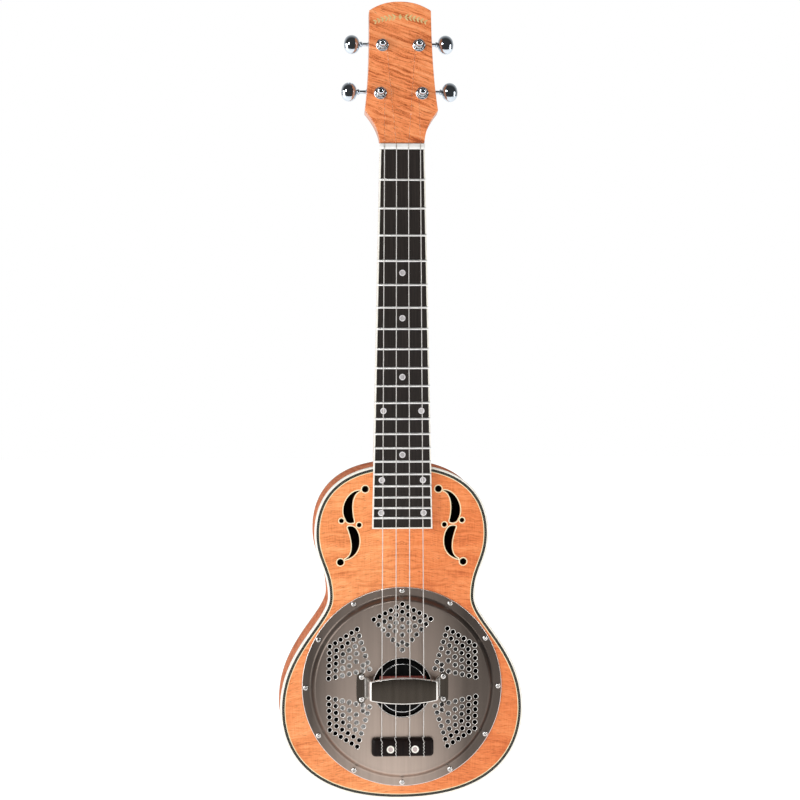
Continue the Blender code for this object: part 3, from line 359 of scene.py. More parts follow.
def spun(name, dark, light, roughness):
    """Aluminium turned on a lathe: fine rings round the cone's axis, with one sector brightened as a
    painted highlight.

    The middle is coloured black as painted shade, and the outer part fades to black under the plate as
    painted shade.
    """
    finish = Finish(name, light, roughness, 1.0)
    x, height, radius = radius_from_saddle(finish)
    rings = finish.noise(finish.point(radius, 0.0, 0.0, (0.35, 1, 1)), 3, 0.7)
    colour = finish.blend(rings, 0.35, 0.65, dark, light)
    # Painted highlight: one sector of the cone is brightened in its colour.
    towards = finish.times(x, -0.9, finish.times(height, 0.42))
    painted_light_fan = finish.span(finish.maths("DIVIDE", towards, radius), -0.6, 0.9, 0.30, 1.0)
    painted_light_fan = finish.ramp(painted_light_fan, ((0.0, grey(0.0)), (1.0, grey(1.0))))
    colour = finish.mix(1.0, colour, painted_light_fan, "MULTIPLY")
    # Painted shade: black in the middle and where the plate's outer part covers the cone.
    painted_cone_shade = finish.span(radius, PAINTED_SHADE_RADIUS, PAINTED_SHADE_RADIUS + 0.3, 1.0, 0.0)
    painted_cone_shade = finish.maths("MAXIMUM", painted_cone_shade, finish.span(radius, 50.0, 56.0))
    finish.set("Base Color", finish.mix(painted_cone_shade, colour, (*grey(0.006), 1.0)))
    finish.set("Roughness", finish.span(rings, 0.3, 0.7, roughness - 0.05, roughness + 0.08))
    finish.bump(rings, 0.02, 0.6)
    return finish.material


def rope(name, dark, light):
    """Purfling of slanted black and pale slips."""
    finish = Finish(name, dark, 0.4, specular_ior_level=0.2)
    along, across = finish.along()
    slanted = finish.times(across, 0.75, along)
    phase = finish.maths("FRACT", finish.maths("DIVIDE", slanted, ROPE_PERIOD))
    peak = finish.maths("ABSOLUTE", finish.maths("SUBTRACT", phase, 0.5))
    middle = finish.maths("SUBTRACT", across, ROPE_INSET + ROPE_WIDTH / 2)
    edge = finish.span(finish.maths("ABSOLUTE", middle), ROPE_WIDTH * 0.28, ROPE_WIDTH * 0.40)
    slips = finish.times(finish.span(peak, 0.38, 0.44), finish.maths("SUBTRACT", 1.0, edge))
    finish.set("Base Color", finish.ramp(slips, ((0.0, dark), (1.0, light))))
    finish.bump(slips, 0.01, 0.4)
    return finish.material


def nylon(name, clear, bend):
    """Monofilament, milky along its length."""
    finish = Finish(name, (0.90, 0.88, 0.84), 0.22, transmission_weight=clear, ior=bend)
    streaks = finish.cloud((0.4, 0.4, 9))
    stops = ((0.3, (0.80, 0.76, 0.72)), (0.7, (0.95, 0.93, 0.90)))
    finish.set("Base Color", finish.ramp(streaks, stops))
    finish.set("Roughness", finish.span(streaks, 0.3, 0.7, 0.16, 0.30))
    return finish.material


# ---- Meshes ----------------------------------------------------------------------------------

def piece(name, shape, finish, replaces=(), body="instrument", crease=30.0, strip=None,
          flat=None, more_finishes=(), choose=None):
    """One visible piece, riding on its body: cleaned, and smoothed up to the crease angle.

    Faces that look along the flat axis stay plane in their shading. Where there are more finishes,
    choose(normal, centre in millimetres) gives each face's number: 0 for the first one.
    """
    verts, faces = shape
    mesh = bpy.data.meshes.new(name)
    mesh.from_pydata([Vector(v) * MM for v in verts], [], faces)
    if strip:
        lay_map(mesh, *strip)
    work = bmesh.new()
    work.from_mesh(mesh)
    bmesh.ops.remove_doubles(work, verts=work.verts, dist=2e-7)
    bmesh.ops.recalc_face_normals(work, faces=work.faces)
    if choose:
        for face in work.faces:
            face.material_index = int(choose(face.normal, face.calc_center_median() / MM))
    work.to_mesh(mesh)
    work.free()
    mesh.shade_smooth()
    mesh.set_sharp_from_angle(angle=math.radians(crease))
    if flat:
        mark_flat_faces(mesh, flat)
    for each in (finish, *more_finishes):
        mesh.materials.append(each)
    thing = bpy.data.objects.new(name, mesh)
    bpy.context.scene.collection.objects.link(thing)
    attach(thing, body)
    if replaces:
        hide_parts(*replaces)
    return thing


def mark_flat_faces(mesh, axis):
    """Sharp edges round each region of faces that look exactly along the axis."""
    normals = [face.normal for face in mesh.polygons]
    plane = [abs(normal.dot(axis)) > 0.9999 for normal in normals]
    users = {}
    for face in mesh.polygons:
        for edge in face.loop_indices:
            users.setdefault(mesh.loops[edge].edge_index, []).append(face.index)
    sharp = mesh.attributes.get("sharp_edge") or mesh.attributes.new("sharp_edge", "BOOLEAN", "EDGE")
    for edge, faces in users.items():
        if len({plane[i] for i in faces}) > 1:
            sharp.data[edge].value = True


def lay_map(mesh, places, length):
    """A map of (along, across) for each vertex, unbroken where a closed strip meets itself."""
    layer = mesh.uv_layers.new(name="along")
    for face in mesh.polygons:
        corners = [places[mesh.loops[i].vertex_index] for i in face.loop_indices]
        furthest = max(along for along, _ in corners)
        for i, (along, across) in zip(face.loop_indices, corners):
            wraps = furthest - along > length / 2
            layer.data[i].uv = (along + length * wraps, across)


def gather(*shapes):
    """Several shapes as one."""
    verts, faces = [], []
    for more_verts, more_faces in shapes:
        faces.extend(tuple(len(verts) + i for i in face) for face in more_faces)
        verts.extend(more_verts)
    return verts, faces


def moved(shape, place):
    verts, faces = shape
    return [place(*v) for v in verts], faces


def ring_faces(a, count_a, b, count_b):
    faces = []
    count = max(count_a, count_b)
    for i in range(count):
        j = (i + 1) % count
        if count_a == 1:
            faces.append((a, b + i, b + j))
        elif count_b == 1:
            faces.append((a + i, a + j, b))
        else:
            faces.append((a + i, a + j, b + j, b + i))
    return faces


def loft(rings, closed=False, caps=True):
    """Rings of equal count joined in order; a one-point ring is a tip."""
    verts, starts, faces = [], [], []
    for ring in rings:
        starts.append(len(verts))
        verts.extend(ring)
    pairs = [(k, k + 1) for k in range(len(rings) - 1)]
    if closed:
        pairs.append((len(rings) - 1, 0))
    for a, b in pairs:
        faces.extend(ring_faces(starts[a], len(rings[a]), starts[b], len(rings[b])))
    if caps and not closed:
        for k in (0, len(rings) - 1):
            if len(rings[k]) > 1:
                faces.append(tuple(range(starts[k], starts[k] + len(rings[k]))))
    return verts, faces


def circle(radius, sides, x=0.0, z=0.0):
    angles = [2 * math.pi * i / sides for i in range(sides)]
    return [(x + radius * math.cos(a), z + radius * math.sin(a)) for a in angles]


def quarter_round(radius, steps=3):
    """Pairs of (inset, depth) from (radius, 0) to (0, radius) round a rolled edge."""
    angles = [math.pi / 2 * k / steps for k in range(steps + 1)]
    return [(radius * (1 - math.sin(a)), radius * (1 - math.cos(a))) for a in angles]


def level(loop, y):
    """A loop of the x-z plane set at a depth."""
    return [(x, y, z) for x, z in loop]


def turned(profile, sides, x=0.0, z=0.0, closed=False):
    """A profile of (radius, y) spun round a y axis at (x, z)."""
    rings = [[(x, y, z)] if r == 0 else level(circle(r, sides, x, z), y) for r, y in profile]
    return loft(rings, closed)


def offset(loop, distance):
    """A closed loop moved inwards, or outwards by a negative distance, with corners held back."""
    turning = sum(a[0] * b[1] - b[0] * a[1] for a, b in zip(loop, loop[1:] + loop[:1]))
    hand = distance if turning > 0 else -distance
    result = []
    for before, here, after in zip(loop[-1:] + loop[:-1], loop, loop[1:] + loop[:1]):
        first = (Vector(here) - Vector(before)).normalized()
        second = (Vector(after) - Vector(here)).normalized()
        normal = Vector((-first.y - second.y, first.x + second.x))
        if normal.length < 1e-6:
            normal = Vector((-first.y, first.x))
        normal.normalize()
        reach = hand / max(normal.dot(Vector((-first.y, first.x))), 0.6)
        result.append((here[0] + normal.x * reach, here[1] + normal.y * reach))
    return result


def fill(outer, holes):
    """Triangles over a flat outline with holes, with their points."""
    loops = [[Vector((x, z, 0)) for x, z in loop] for loop in [outer, *holes]]
    points = [(p.x, p.y) for loop in loops for p in loop]
    return points, tessellate_polygon(loops)


def cap(outer, holes, y):
    points, triangles = fill(outer, holes)
    return level(points, y), triangles


def slab(outer, holes, front, back, edge=0.3, steps=3):
    """A plate between two depths with all its rims rounded over."""
    shapes = []
    fine = quarter_round(edge, steps)
    rims = [(inset, front + depth) for inset, depth in fine]
    rims += [(inset, back - depth) for inset, depth in reversed(fine)]
    for inset, y in (rims[0], rims[-1]):
        shapes.append(cap(offset(outer, inset), [offset(hole, -inset) for hole in holes], y))
    for loop, hand in [(outer, 1)] + [(hole, -1) for hole in holes]:
        shapes.append(loft([level(offset(loop, hand * inset), y) for inset, y in rims], caps=False))
    return gather(*shapes)


def rounded_rectangle(x0, x1, z0, z1, radius, steps=6):
    corners = ((x1 - radius, z1 - radius), (x0 + radius, z1 - radius),
               (x0 + radius, z0 + radius), (x1 - radius, z0 + radius))
    points = []
    for quarter, (cx, cz) in enumerate(corners):
        for i in range(steps + 1):
            angle = math.pi / 2 * (quarter + i / steps)
            points.append((cx + radius * math.cos(angle), cz + radius * math.sin(angle)))
    return points


def tube(points, radius, sides=10):
    """A round rod along a path, its rings carried without twist from one point to the next."""
    path = [Vector(p) for p in points]
    first = (path[1] - path[0]).normalized()
    rings, side = [], Vector((0, 0, 1)) if abs(first.x) > 0.9 else Vector((1, 0, 0))
    for i, point in enumerate(path):
        along = (path[min(i + 1, len(path) - 1)] - path[max(i - 1, 0)]).normalized()
        side = (side - along * side.dot(along)).normalized()
        up = along.cross(side)
        rings.append([tuple(point + side * (radius * c) + up * (radius * s)) for c, s in circle(1, sides)])
    return loft(rings)


def union(thing, other):
    """The two meshes as one outer skin, with the second object taken away."""
    modifier = thing.modifiers.new("union", "BOOLEAN")
    modifier.solver = "EXACT"
    modifier.operation = "UNION"
    modifier.object = other
    depsgraph = bpy.context.evaluated_depsgraph_get()
    joined = bpy.data.meshes.new_from_object(thing.evaluated_get(depsgraph))
    thing.modifiers.clear()
    thing.data = joined
    joined.shade_smooth()
    joined.set_sharp_from_angle(angle=math.radians(32))
    bpy.data.objects.remove(other)


# ---- Curves shared by several pieces ---------------------------------------------------------

def bezier(curve, t):
    """Point and unit tangent on a cubic curve."""
    p0, p1, p2, p3 = (Vector(p) for p in curve)
    s = 1 - t
    point = s**3 * p0 + 3 * s * s * t * p1 + 3 * s * t * t * p2 + t**3 * p3
    tangent = s * s * (p1 - p0) + 2 * s * t * (p2 - p1) + t * t * (p3 - p2)
    return point, tangent.normalized()


def curve_points(curve, steps):
    return [tuple(bezier(curve, i / steps)[0]) for i in range(steps + 1)]


def body_outline(inset):
    """The body's outline moved inwards, from the tail up the right side and down the left."""
    right = []
    for curve in BODY_CURVES:
        last = curve is BODY_CURVES[-1]
        for i in range(CURVE_STEPS + last):
            point, tangent = bezier(curve, i / CURVE_STEPS)
            right.append((point.x - inset * tangent.y, point.y + inset * tangent.x))
    return right + [(-x, z) for x, z in reversed(right[1:-1])]


def band(profile):
    """A strip that follows the body's outline, from a closed profile of (inset, y), with its map."""
    rings = [level(body_outline(inset), y) for inset, y in profile]
    edge = body_outline(0.0)
    distances = [0.0]
    for a, b in zip(edge, edge[1:]):
        distances.append(distances[-1] + math.dist(a, b))
    length = distances[-1] + math.dist(edge[-1], edge[0])
    across = [inset + y for inset, y in profile]
    return loft(rings, closed=True), ([(d, v) for v in across for d in distances], length)


def board_half(z):
    """Half width of the fingerboard, and of the neck under it."""
    return BOARD_HALF_NUT + (BOARD_HALF_END - BOARD_HALF_NUT) * z / BOARD_END


def head_point(x, y, z):
    """A point given in the headstock's frame, in the instrument's frame."""
    return (x, -SLAB_FRONT * math.cos(TILT) + z * math.sin(TILT) + y * math.cos(TILT),
            HEAD_START + SLAB_FRONT * math.sin(TILT) + z * math.cos(TILT) - y * math.sin(TILT))


def head_outline(foot, foot_half):
    """Flared sides with an angled shoulder, and a crest that swells in the middle."""
    flare = ((foot_half, foot), (18.6, 9.2), (23.0, 17.6), (29.4, 25.8))
    side = ((29.4, 25.8), (27.5, 40.5), (25.0, 63.0), (25.0, 109.0))
    right = curve_points(flare, 12) + curve_points(side, 12)[1:]
    crest_steps = 30
    crest = []
    for i in range(1, crest_steps):
        x = 25.0 * (1 - 2 * i / crest_steps)
        crest.append((x, 109.0 + CREST_RISE * (1 - abs(x / 25.0) ** CREST_POWER)))
    return right + crest + [(-x, z) for x, z in reversed(right)]


def f_hole(side):
    """Two facing crescents and four dots, for the side given as 1 or -1."""
    upper = curve_points(((33.8, -274.0), (42.4, -273.5), (51.2, -287.0), (45.5, -297.3)), 20)
    upper += curve_points(((44.9, -298.6), (43.8, -300.6), (40.2, -300.9), (38.8, -299.7)), 5)
    upper += curve_points(((38.6, -298.9), (41.2, -289.0), (40.9, -277.0), (33.8, -274.4)), 16)
    lower = curve_points(((37.6, -304.5), (32.4, -310.5), (31.9, -327.0), (45.7, -329.8)), 20)
    lower += curve_points(((45.7, -329.4), (38.9, -326.5), (39.2, -316.0), (43.9, -303.9)), 16)
    lower += curve_points(((43.6, -303.2), (42.6, -302.6), (40.0, -302.5), (38.2, -303.9)), 5)
    dots = ((29.6, -272.9, 2.7), (48.8, -298.4, 1.9), (34.5, -301.9, 1.9), (49.7, -332.0, 2.7))
    loops = [upper, lower] + [circle(r, 24, x, z) for x, z, r in dots]
    return [[(side * x, z) for x, z in loop] for loop in loops]


def rim_screw_places():
    angles = [math.radians(30 * i) for i in range(12)]
    return [(RIM_SCREW_CIRCLE * math.cos(a), SADDLE_Z + RIM_SCREW_CIRCLE * math.sin(a)) for a in angles]


def rest_screw_places():
    return [(sx * REST_SCREW_X, SADDLE_Z + sz * REST_SCREW_Z) for sx in (-1, 1) for sz in (1, -1)]


def anchor_screw_places():
    return [(side * ANCHOR_DOT_X, ANCHOR_DOT_Z) for side in (-1, 1)]


def fret_place(n):
    return -SCALE_LENGTH * (1 - 2 ** (-n / 12))


# ---- Body ------------------------------------------------------------------------------------

def make_body(maple, side_maple, back_maple, inside, ivory, line, slips, dark_line):
    holes = [circle(CONE_OPENING, 120, 0, SADDLE_Z)]
    holes += f_hole(1) + f_hole(-1) + [circle(1.5, 12, x, z) for x, z in rim_screw_places()]
    outer = body_outline(PLATE_INSET)
    back_front = BODY_DEPTH - PLATE
    # The plates' and walls' inner faces take the near-black inside finish as painted shade.
    piece("soundboard_plate", slab(outer, holes, 0.0, PLATE, 0.15, 2), maple,
          ["soundboard"], flat=FRONT_AXIS, more_finishes=(inside,),
          choose=lambda normal, centre: normal.y > 0.9)
    piece("back_plate", slab(outer, [], back_front, BODY_DEPTH, 0.15, 2), back_maple,
          ["back"], flat=FRONT_AXIS, more_finishes=(inside,),
          choose=lambda normal, centre: normal.y < -0.9)

    step = BINDING_HEIGHT + 0.7
    back_step = BODY_DEPTH - step
    wall = [(PLATE_INSET, PLATE + 0.2), (PLATE_INSET, step), (0.35, step), (0.05, step + 0.3),
            (0.05, back_step - 0.3), (0.35, back_step), (PLATE_INSET, back_step),
            (PLATE_INSET, back_front - 0.2), (SIDE_INNER, back_front - 0.2), (SIDE_INNER, PLATE + 0.2)]
    shape, strip = band(wall)

    def looks_in(normal, centre):
        return normal.x * centre.x + normal.z * (centre.z - BODY_MIDDLE_Z) < 0

    piece("side_walls", shape, side_maple, ["sides"], strip=strip, more_finishes=(inside,),
          choose=looks_in)
    for name, y in (("front_dark_line", BINDING_HEIGHT + 0.05), ("back_dark_line", back_step)):
        shape, strip = band([(0.03, y), (0.03, y + 0.6), (BINDING_WIDTH, y + 0.6), (BINDING_WIDTH, y)])
        piece(name, shape, dark_line, strip=strip)

    corner = [(inset, depth) for depth, inset in quarter_round(0.75)]
    profile = [(0.0, BINDING_HEIGHT), *corner, (BINDING_WIDTH, 0.0), (BINDING_WIDTH, BINDING_HEIGHT)]
    for word, face, into in (("front", 0.0, 1), ("back", BODY_DEPTH, -1)):
        shape, strip = band([(inset, face + into * depth) for inset, depth in profile])
        piece(f"{word}_edge_binding", shape, ivory, [f"{word}_binding"], strip=strip)

    for name, start, width, finish in (("rope", ROPE_INSET, ROPE_WIDTH, slips),
                                       ("line", ROPE_INSET + ROPE_WIDTH, LINE_WIDTH, line)):
        end = start + width
        profile = [(start, 0.2), (start, -INLAY), (end, -INLAY), (end, 0.2)]
        shape, (places, length) = band(profile)
        count = len(places) // len(profile)
        places = [(place[0], profile[i // count][0]) for i, place in enumerate(places)]
        piece(f"front_{name}_purfling", shape, finish, strip=(places, length))


def make_hole_edging(line):
    """Cream rings let in round each opening of the two f-holes."""
    for side, word in ((1, "right"), (-1, "left")):
        shapes = []
        for loop in f_hole(side):
            inner, outer = offset(loop, -0.02), offset(loop, -0.85)
            rings = [level(inner, 0.6), level(inner, -INLAY), level(outer, -INLAY), level(outer, 0.6)]
            shapes.append(loft(rings, closed=True))
        piece(f"f_hole_edging_{word}", gather(*shapes), line)


# ---- Cone, coverplate and bridge -------------------------------------------------------------

def perforations():
    """Five kites of small holes, each of seven nested chevrons that shrink towards the middle."""
    holes = []
    for angle in GROUP_ANGLES:
        along = Vector((math.cos(math.radians(angle)), math.sin(math.radians(angle))))
        across = Vector((-along.y, along.x))
        for i, steps in enumerate(CHEVRON_STEPS):
            apex = CHEVRON_APEX - CHEVRON_PITCH * i
            end = CHEVRON_END - CHEVRON_END_PITCH * i
            half = CHEVRON_HALF * (1 - i / (len(CHEVRON_STEPS) - 1))
            for k in range(-steps, steps + 1):
                share = abs(k) / steps if steps else 0.0
                place = along * (apex + (end - apex) * share) + across * math.copysign(half * share, k)
                holes.append((place.x, SADDLE_Z + place.y))
    return holes


def make_coverplate(nickel, bright, shade):
    shapes = []

    def ring(radius, y=None, sides=120):
        loop = circle(radius, sides, 0, SADDLE_Z)
        return loop if y is None else level(loop, y)

    rim_holes = [circle(PLATE_SCREW_HOLE, 12, x, z) for x, z in rim_screw_places()]
    small_places = rest_screw_places() + anchor_screw_places()
    small_holes = [circle(PLATE_SCREW_HOLE, 12, x, z) for x, z in small_places]
    lip = 0.4
    for y, inset in ((RIM_Y, lip), (COVER_BACK_Y, 0.0)):
        shapes.append(cap(ring(COVER_RADIUS - inset), [ring(COVER_RIM), *rim_holes], y))
    edge = [ring(COVER_RADIUS - inset, RIM_Y + depth) for inset, depth in quarter_round(lip)]
    shapes.append(loft(edge + [ring(COVER_RADIUS, COVER_BACK_Y)], caps=False))

    slope_steps = 8
    for base in (RIM_Y, COVER_BACK_Y):
        rings = []
        for k in range(slope_steps + 1):
            t = k / slope_steps
            rise = COVER_RISE * t * t * (3 - 2 * t)
            rings.append(ring(COVER_RIM + (COVER_RAISED - COVER_RIM) * t, base - rise))
        shapes.append(loft(rings, caps=False))

    places = perforations()
    dish, centre_lip = 0.42, 0.9
    profile = quarter_round(dish)
    back = RAISED_Y + COVER_SHEET
    for grow, hole, y in ((dish, COVER_HOLE + centre_lip, RAISED_Y), (0.0, COVER_HOLE, back)):
        openings = [circle(PERFORATION_RADIUS + grow, 14, x, z) for x, z in places]
        shapes.append(cap(ring(COVER_RAISED), [ring(hole, sides=96), *openings, *small_holes], y))
    for x, z in places:
        rings = [level(circle(PERFORATION_RADIUS + i, 14, x, z), RAISED_Y + d) for i, d in profile]
        rings.append(level(circle(PERFORATION_RADIUS, 14, x, z), back))
        shapes.append(loft(rings, caps=False))
    for holes, front, rear in ((rim_holes, RIM_Y, COVER_BACK_Y), (small_holes, RAISED_Y, back)):
        shapes += [loft([level(hole, front), level(hole, rear)], caps=False) for hole in holes]
    share = centre_lip / dish
    rings = [ring(COVER_HOLE + i * share, RAISED_Y + d * share, 96) for i, d in profile]
    shapes.append(loft(rings + [ring(COVER_HOLE, back, 96)], caps=False))

    def part_of_plate(normal, centre):
        """0 for the brushed faces, 2 for the walls inside the holes, in painted shade, 1 for the bright
        edges round them, a lighter nickel copy as painted highlight.
        """
        radius = math.hypot(centre.x, centre.z - SADDLE_Z)
        if abs(normal.y) > 0.99 or COVER_RAISED - 0.1 < radius < COVER_RADIUS - 0.5:
            return 0
        return 2 if abs(normal.y) < 0.05 and radius < COVER_RAISED else 1

    piece("coverplate_sheet", gather(*shapes), nickel, ["coverplate"], crease=34,
          flat=FRONT_AXIS, more_finishes=(bright, shade), choose=part_of_plate)


def make_cone(aluminium):
    """A shallow spun cone with raised rings, a flat top for the biscuit and a flat rim."""
    front = [(1.6, CONE_APEX_Y), (CONE_FLAT, CONE_APEX_Y)]
    slope_end = 67.0
    steps = 44
    for k in range(1, steps):
        r = CONE_FLAT + (slope_end - CONE_FLAT) * k / steps
        y = CONE_APEX_Y + (CONE_RIM_Y - CONE_APEX_Y) * k / steps
        front.append((r, y - 0.28 * max(0.0, math.sin(2 * math.pi * k / 8)) ** 2))
    front += [(slope_end, CONE_RIM_Y), (CONE_RADIUS, CONE_RIM_Y)]
    back = [(r, y + CONE_SHEET) for r, y in reversed(front)]
    piece("cone_spun", turned(front + back, 96, 0, SADDLE_Z, closed=True), aluminium,
          ["resonator_cone"])


def saddle_section(x, crest, half):
    """A wedge on a broad foot, its crest where the string bears."""
    foot = BISCUIT_FRONT - 0.02
    upper = ((half, foot), (half, foot - 0.5), (half - 0.5, foot - 1.0), (5.2, foot - 2.3),
             (1.4, crest + 0.25), (0.7, crest))
    shape = [(-z, y) for z, y in upper] + list(reversed(upper))
    return [(x, y, SADDLE_Z + z) for z, y in shape]


def make_biscuit(black, lacquer, saddle_wood):
    back = CONE_APEX_Y - 0.05
    edge = 0.5
    profile = [(0, back), (BISCUIT_RADIUS - 0.2, back), (BISCUIT_RADIUS, back - 0.2),
               (BISCUIT_RADIUS, BISCUIT_FRONT + edge), (BISCUIT_RADIUS - 0.15, BISCUIT_FRONT + 0.15),
               (BISCUIT_RADIUS - edge, BISCUIT_FRONT), (0, BISCUIT_FRONT)]
    # The disc is near-black as painted shade; its edge takes the polished finish.
    piece("biscuit_disc", turned(profile, 72, 0, SADDLE_Z), black, ["biscuit"],
          more_finishes=(lacquer,), choose=lambda normal, centre: -0.95 < normal.y < 0.5)

    half = SADDLE_HALF_BASE
    rings = [saddle_section(-SADDLE_HALF_WIDTH, SADDLE_CREST + 0.3, half - 0.3),
             saddle_section(-SADDLE_HALF_WIDTH + 0.3, SADDLE_CREST, half)]
    floor = STRING_Y_SADDLE + STRING_RADIUS
    for step in STRING_STEPS:
        x = step * SADDLE_SPACING
        for shift, crest in ((-0.7, SADDLE_CREST), (-0.36, floor - 0.1), (0.0, floor),
                             (0.36, floor - 0.1), (0.7, SADDLE_CREST)):
            rings.append(saddle_section(x + shift, crest, half))
    rings += [saddle_section(SADDLE_HALF_WIDTH - 0.3, SADDLE_CREST, half),
              saddle_section(SADDLE_HALF_WIDTH, SADDLE_CREST + 0.3, half - 0.3)]
    piece("saddle_wedge", loft(rings), saddle_wood, ["saddle"])


def screw_shape(x, z, seat, tip, radius, turn):
    """A domed head with a cross recess on a plain shank."""
    sides, shank = 32, 1.0
    outer = [(shank, tip), (shank, seat), (radius - 0.1, seat), (radius, seat - 0.15)]
    for share, height in ((1.0, 0.45), (0.95, 0.75), (0.85, 1.0), (0.72, 1.2), (0.58, 1.36)):
        outer.append((radius * share, seat - height))
    rings = [level(circle(reach, sides, x, z), y) for reach, y in outer]
    for share, height in ((0.50, 1.42), (0.36, 1.47), (0.22, 1.5)):
        ring = []
        for i in range(sides):
            angle = turn + 2 * math.pi * i / sides
            arm = max(abs(math.cos(2 * (angle - turn))) - 0.55, 0.0) / 0.45
            depth = 0.55 * arm if share > 0.25 else 0.7
            ring.append((x + radius * share * math.cos(angle), seat - height + depth,
                         z + radius * share * math.sin(angle)))
        rings.append(ring)
    rings.append([(x, seat - 0.7, z)])
    return loft(rings)


def make_screws(steel):
    """The rim's and the handrest's screws, each turned a little further than the one before."""
    lift, head_radius = 0.02, 2.3
    rest_seat = RAISED_Y - 0.3 - REST_SHEET
    for name, node, places, seat, tip, first, turn in (
            ("rim_screw", "coverplate_screw", rim_screw_places(), RIM_Y, 8.0, 0.0, 0.7),
            ("rest_screw", "handrest_screw", rest_screw_places(), rest_seat, RAISED_Y + 2.6, 0.4, 1.1)):
        for i, (x, z) in enumerate(places):
            shape = screw_shape(x, z, seat - lift, tip, head_radius, first + turn * i)
            piece(f"{name}_{i + 1}", shape, steel, [f"{node}_{i + 1}"])


def make_handrest(nickel, bright):
    """A pressed strip: screwed feet, sloping legs and a top that swells in the middle, with rolled edges.

    Each station is x, depth, half width and how far its edges curl, from 0 to 1.
    """
    foot_y = RAISED_Y - 0.3 - REST_SHEET / 2
    top_y = REST_TOP_Y + REST_SHEET / 2
    stations = [(-37.2, foot_y, 6.2, 0), (-37.0, foot_y, 8.6, 0), (-36.5, foot_y, 10.6, 0),
                (-35.6, foot_y, 11.8, 0), (-34.2, foot_y, 12.4, 0), (-32.4, foot_y, 12.4, 0),
                (-31.0, foot_y, 11.6, 0), (-30.2, foot_y, 10.2, 0), (-29.7, foot_y - 0.3, 9.2, 0.2),
                (-29.3, foot_y - 1.2, 8.8, 0.4), (-28.9, foot_y - 2.8, 8.6, 0.7),
                (-28.2, foot_y - 8.0, 8.4, 1), (-27.6, top_y + 3.2, 8.3, 1), (-27.2, top_y + 1.4, 8.2, 1),
                (-26.7, top_y + 0.45, 8.2, 1), (-25.9, top_y + 0.05, 8.3, 1), (-25.0, top_y, 8.4, 1)]
    middle = [(x, top_y, 10.9 - 2.6 * (x / 25.6) ** 2, 1) for x in range(-22, 23, 4)]
    path = stations + middle + [(-x, y, half, curl) for x, y, half, curl in reversed(stations)]
    centre = [Vector(station[:2]) for station in path]
    roll = ((0.0, 1.5), (0.12, 0.95), (0.45, 0.45), (0.95, 0.12), (1.6, 0.0))
    rings = []
    for i, (_, _, half, curl) in enumerate(path):
        along = (centre[min(i + 1, len(path) - 1)] - centre[max(i - 1, 0)]).normalized()
        normal = Vector((along.y, -along.x))
        section = [(half - inset, REST_SHEET / 2 - drop * curl) for inset, drop in roll]
        section += [(-across, out) for across, out in reversed(section)]
        shrink = (half - 0.8 * curl) / half
        inner = [(across * shrink, out - REST_SHEET) for across, out in reversed(section)]
        ring = []
        for across, out in section + inner:
            spot = centre[i] + normal * out
            ring.append((spot.x, spot.y, SADDLE_Z + across))
        rings.append(ring)
    # The face takes the darkened nickel as painted shade; the rolled edges and hidden faces take the
    # lighter copy as painted highlight.
    piece("handrest_strip", loft(rings), nickel, ["handrest"], crease=40,
          more_finishes=(bright,), choose=lambda normal, centre: normal.y > -0.9)


def make_string_anchor(rosewood, ivory, pearl):
    """The tie block: a bevelled, round-cornered block with two capped screws."""
    base = RAISED_Y - 0.05
    rings = []
    for inset, y in ((0.3, base), (0.0, base - 0.3), (0.0, ANCHOR_FRONT + 2.5), (0.15, ANCHOR_FRONT + 2.0),
                     (1.9, ANCHOR_FRONT + 0.3), (2.3, ANCHOR_FRONT + 0.08), (2.7, ANCHOR_FRONT)):
        loop = rounded_rectangle(-ANCHOR_HALF + inset, ANCHOR_HALF - inset, ANCHOR_BOTTOM + inset * 0.5,
                                 ANCHOR_TOP - inset, 3.0 - inset / 2, 6)
        rings.append(level(loop, y))
    piece("anchor_block", loft(rings), rosewood, ["string_anchor"], crease=25)
    for i, (x, z) in enumerate(anchor_screw_places()):
        seat = ANCHOR_FRONT
        collar = [(1.9, seat + 0.5), (3.05, seat + 0.5), (3.05, seat - 0.25), (2.9, seat - 0.42),
                  (2.6, seat - 0.5), (2.2, seat - 0.48), (1.95, seat - 0.3), (1.9, seat - 0.1)]
        piece(f"anchor_dot_ring_{i + 1}", turned(collar, 40, x, z, closed=True), ivory,
              [f"anchor_screw_{i + 1}"])
        disc = [(0, seat + 0.5), (1.88, seat + 0.5), (1.88, seat - 0.1), (1.5, seat - 0.2),
                (0, seat - 0.26)]
        piece(f"anchor_dot_centre_{i + 1}", turned(disc, 32, x, z), pearl)


# ---- Neck, fingerboard and headstock ---------------------------------------------------------

def neck_section(half, depth, shoulder_half, shoulder_y, power, place):
    """A flat-fronted section: straight cheeks, then a round back of half-width shoulder_half."""
    points = [(half, 0.0), (half, shoulder_y * 0.5)]
    steps = 28
    for i in range(steps + 1):
        angle = math.pi * i / steps
        c, s = math.cos(angle), math.sin(angle)
        x = math.copysign(abs(c) ** (2 / power), c) * shoulder_half
        points.append((x, shoulder_y + (depth - shoulder_y) * abs(s) ** (2 / power)))
    points += [(-half, shoulder_y * 0.5), (-half, 0.0)]
    return [place(x, y) for x, y in points]


def smooth_between(stops, substeps):
    """Points of a curve through the stops, by Catmull-Rom."""
    result = []
    for k in range(len(stops) - 1):
        p0, p1 = stops[max(k - 1, 0)], stops[k]
        p2, p3 = stops[k + 1], stops[min(k + 2, len(stops) - 1)]
        for i in range(substeps):
            t = i / substeps
            point = []
            for a, b, c, d in zip(p0, p1, p2, p3):
                square = (2 * a - 5 * b + 4 * c - d) * t * t
                point.append(0.5 * (2 * b + (c - a) * t + square + (3 * b - a - 3 * c + d) * t**3))
            result.append(tuple(point))
    return result + [stops[-1]]


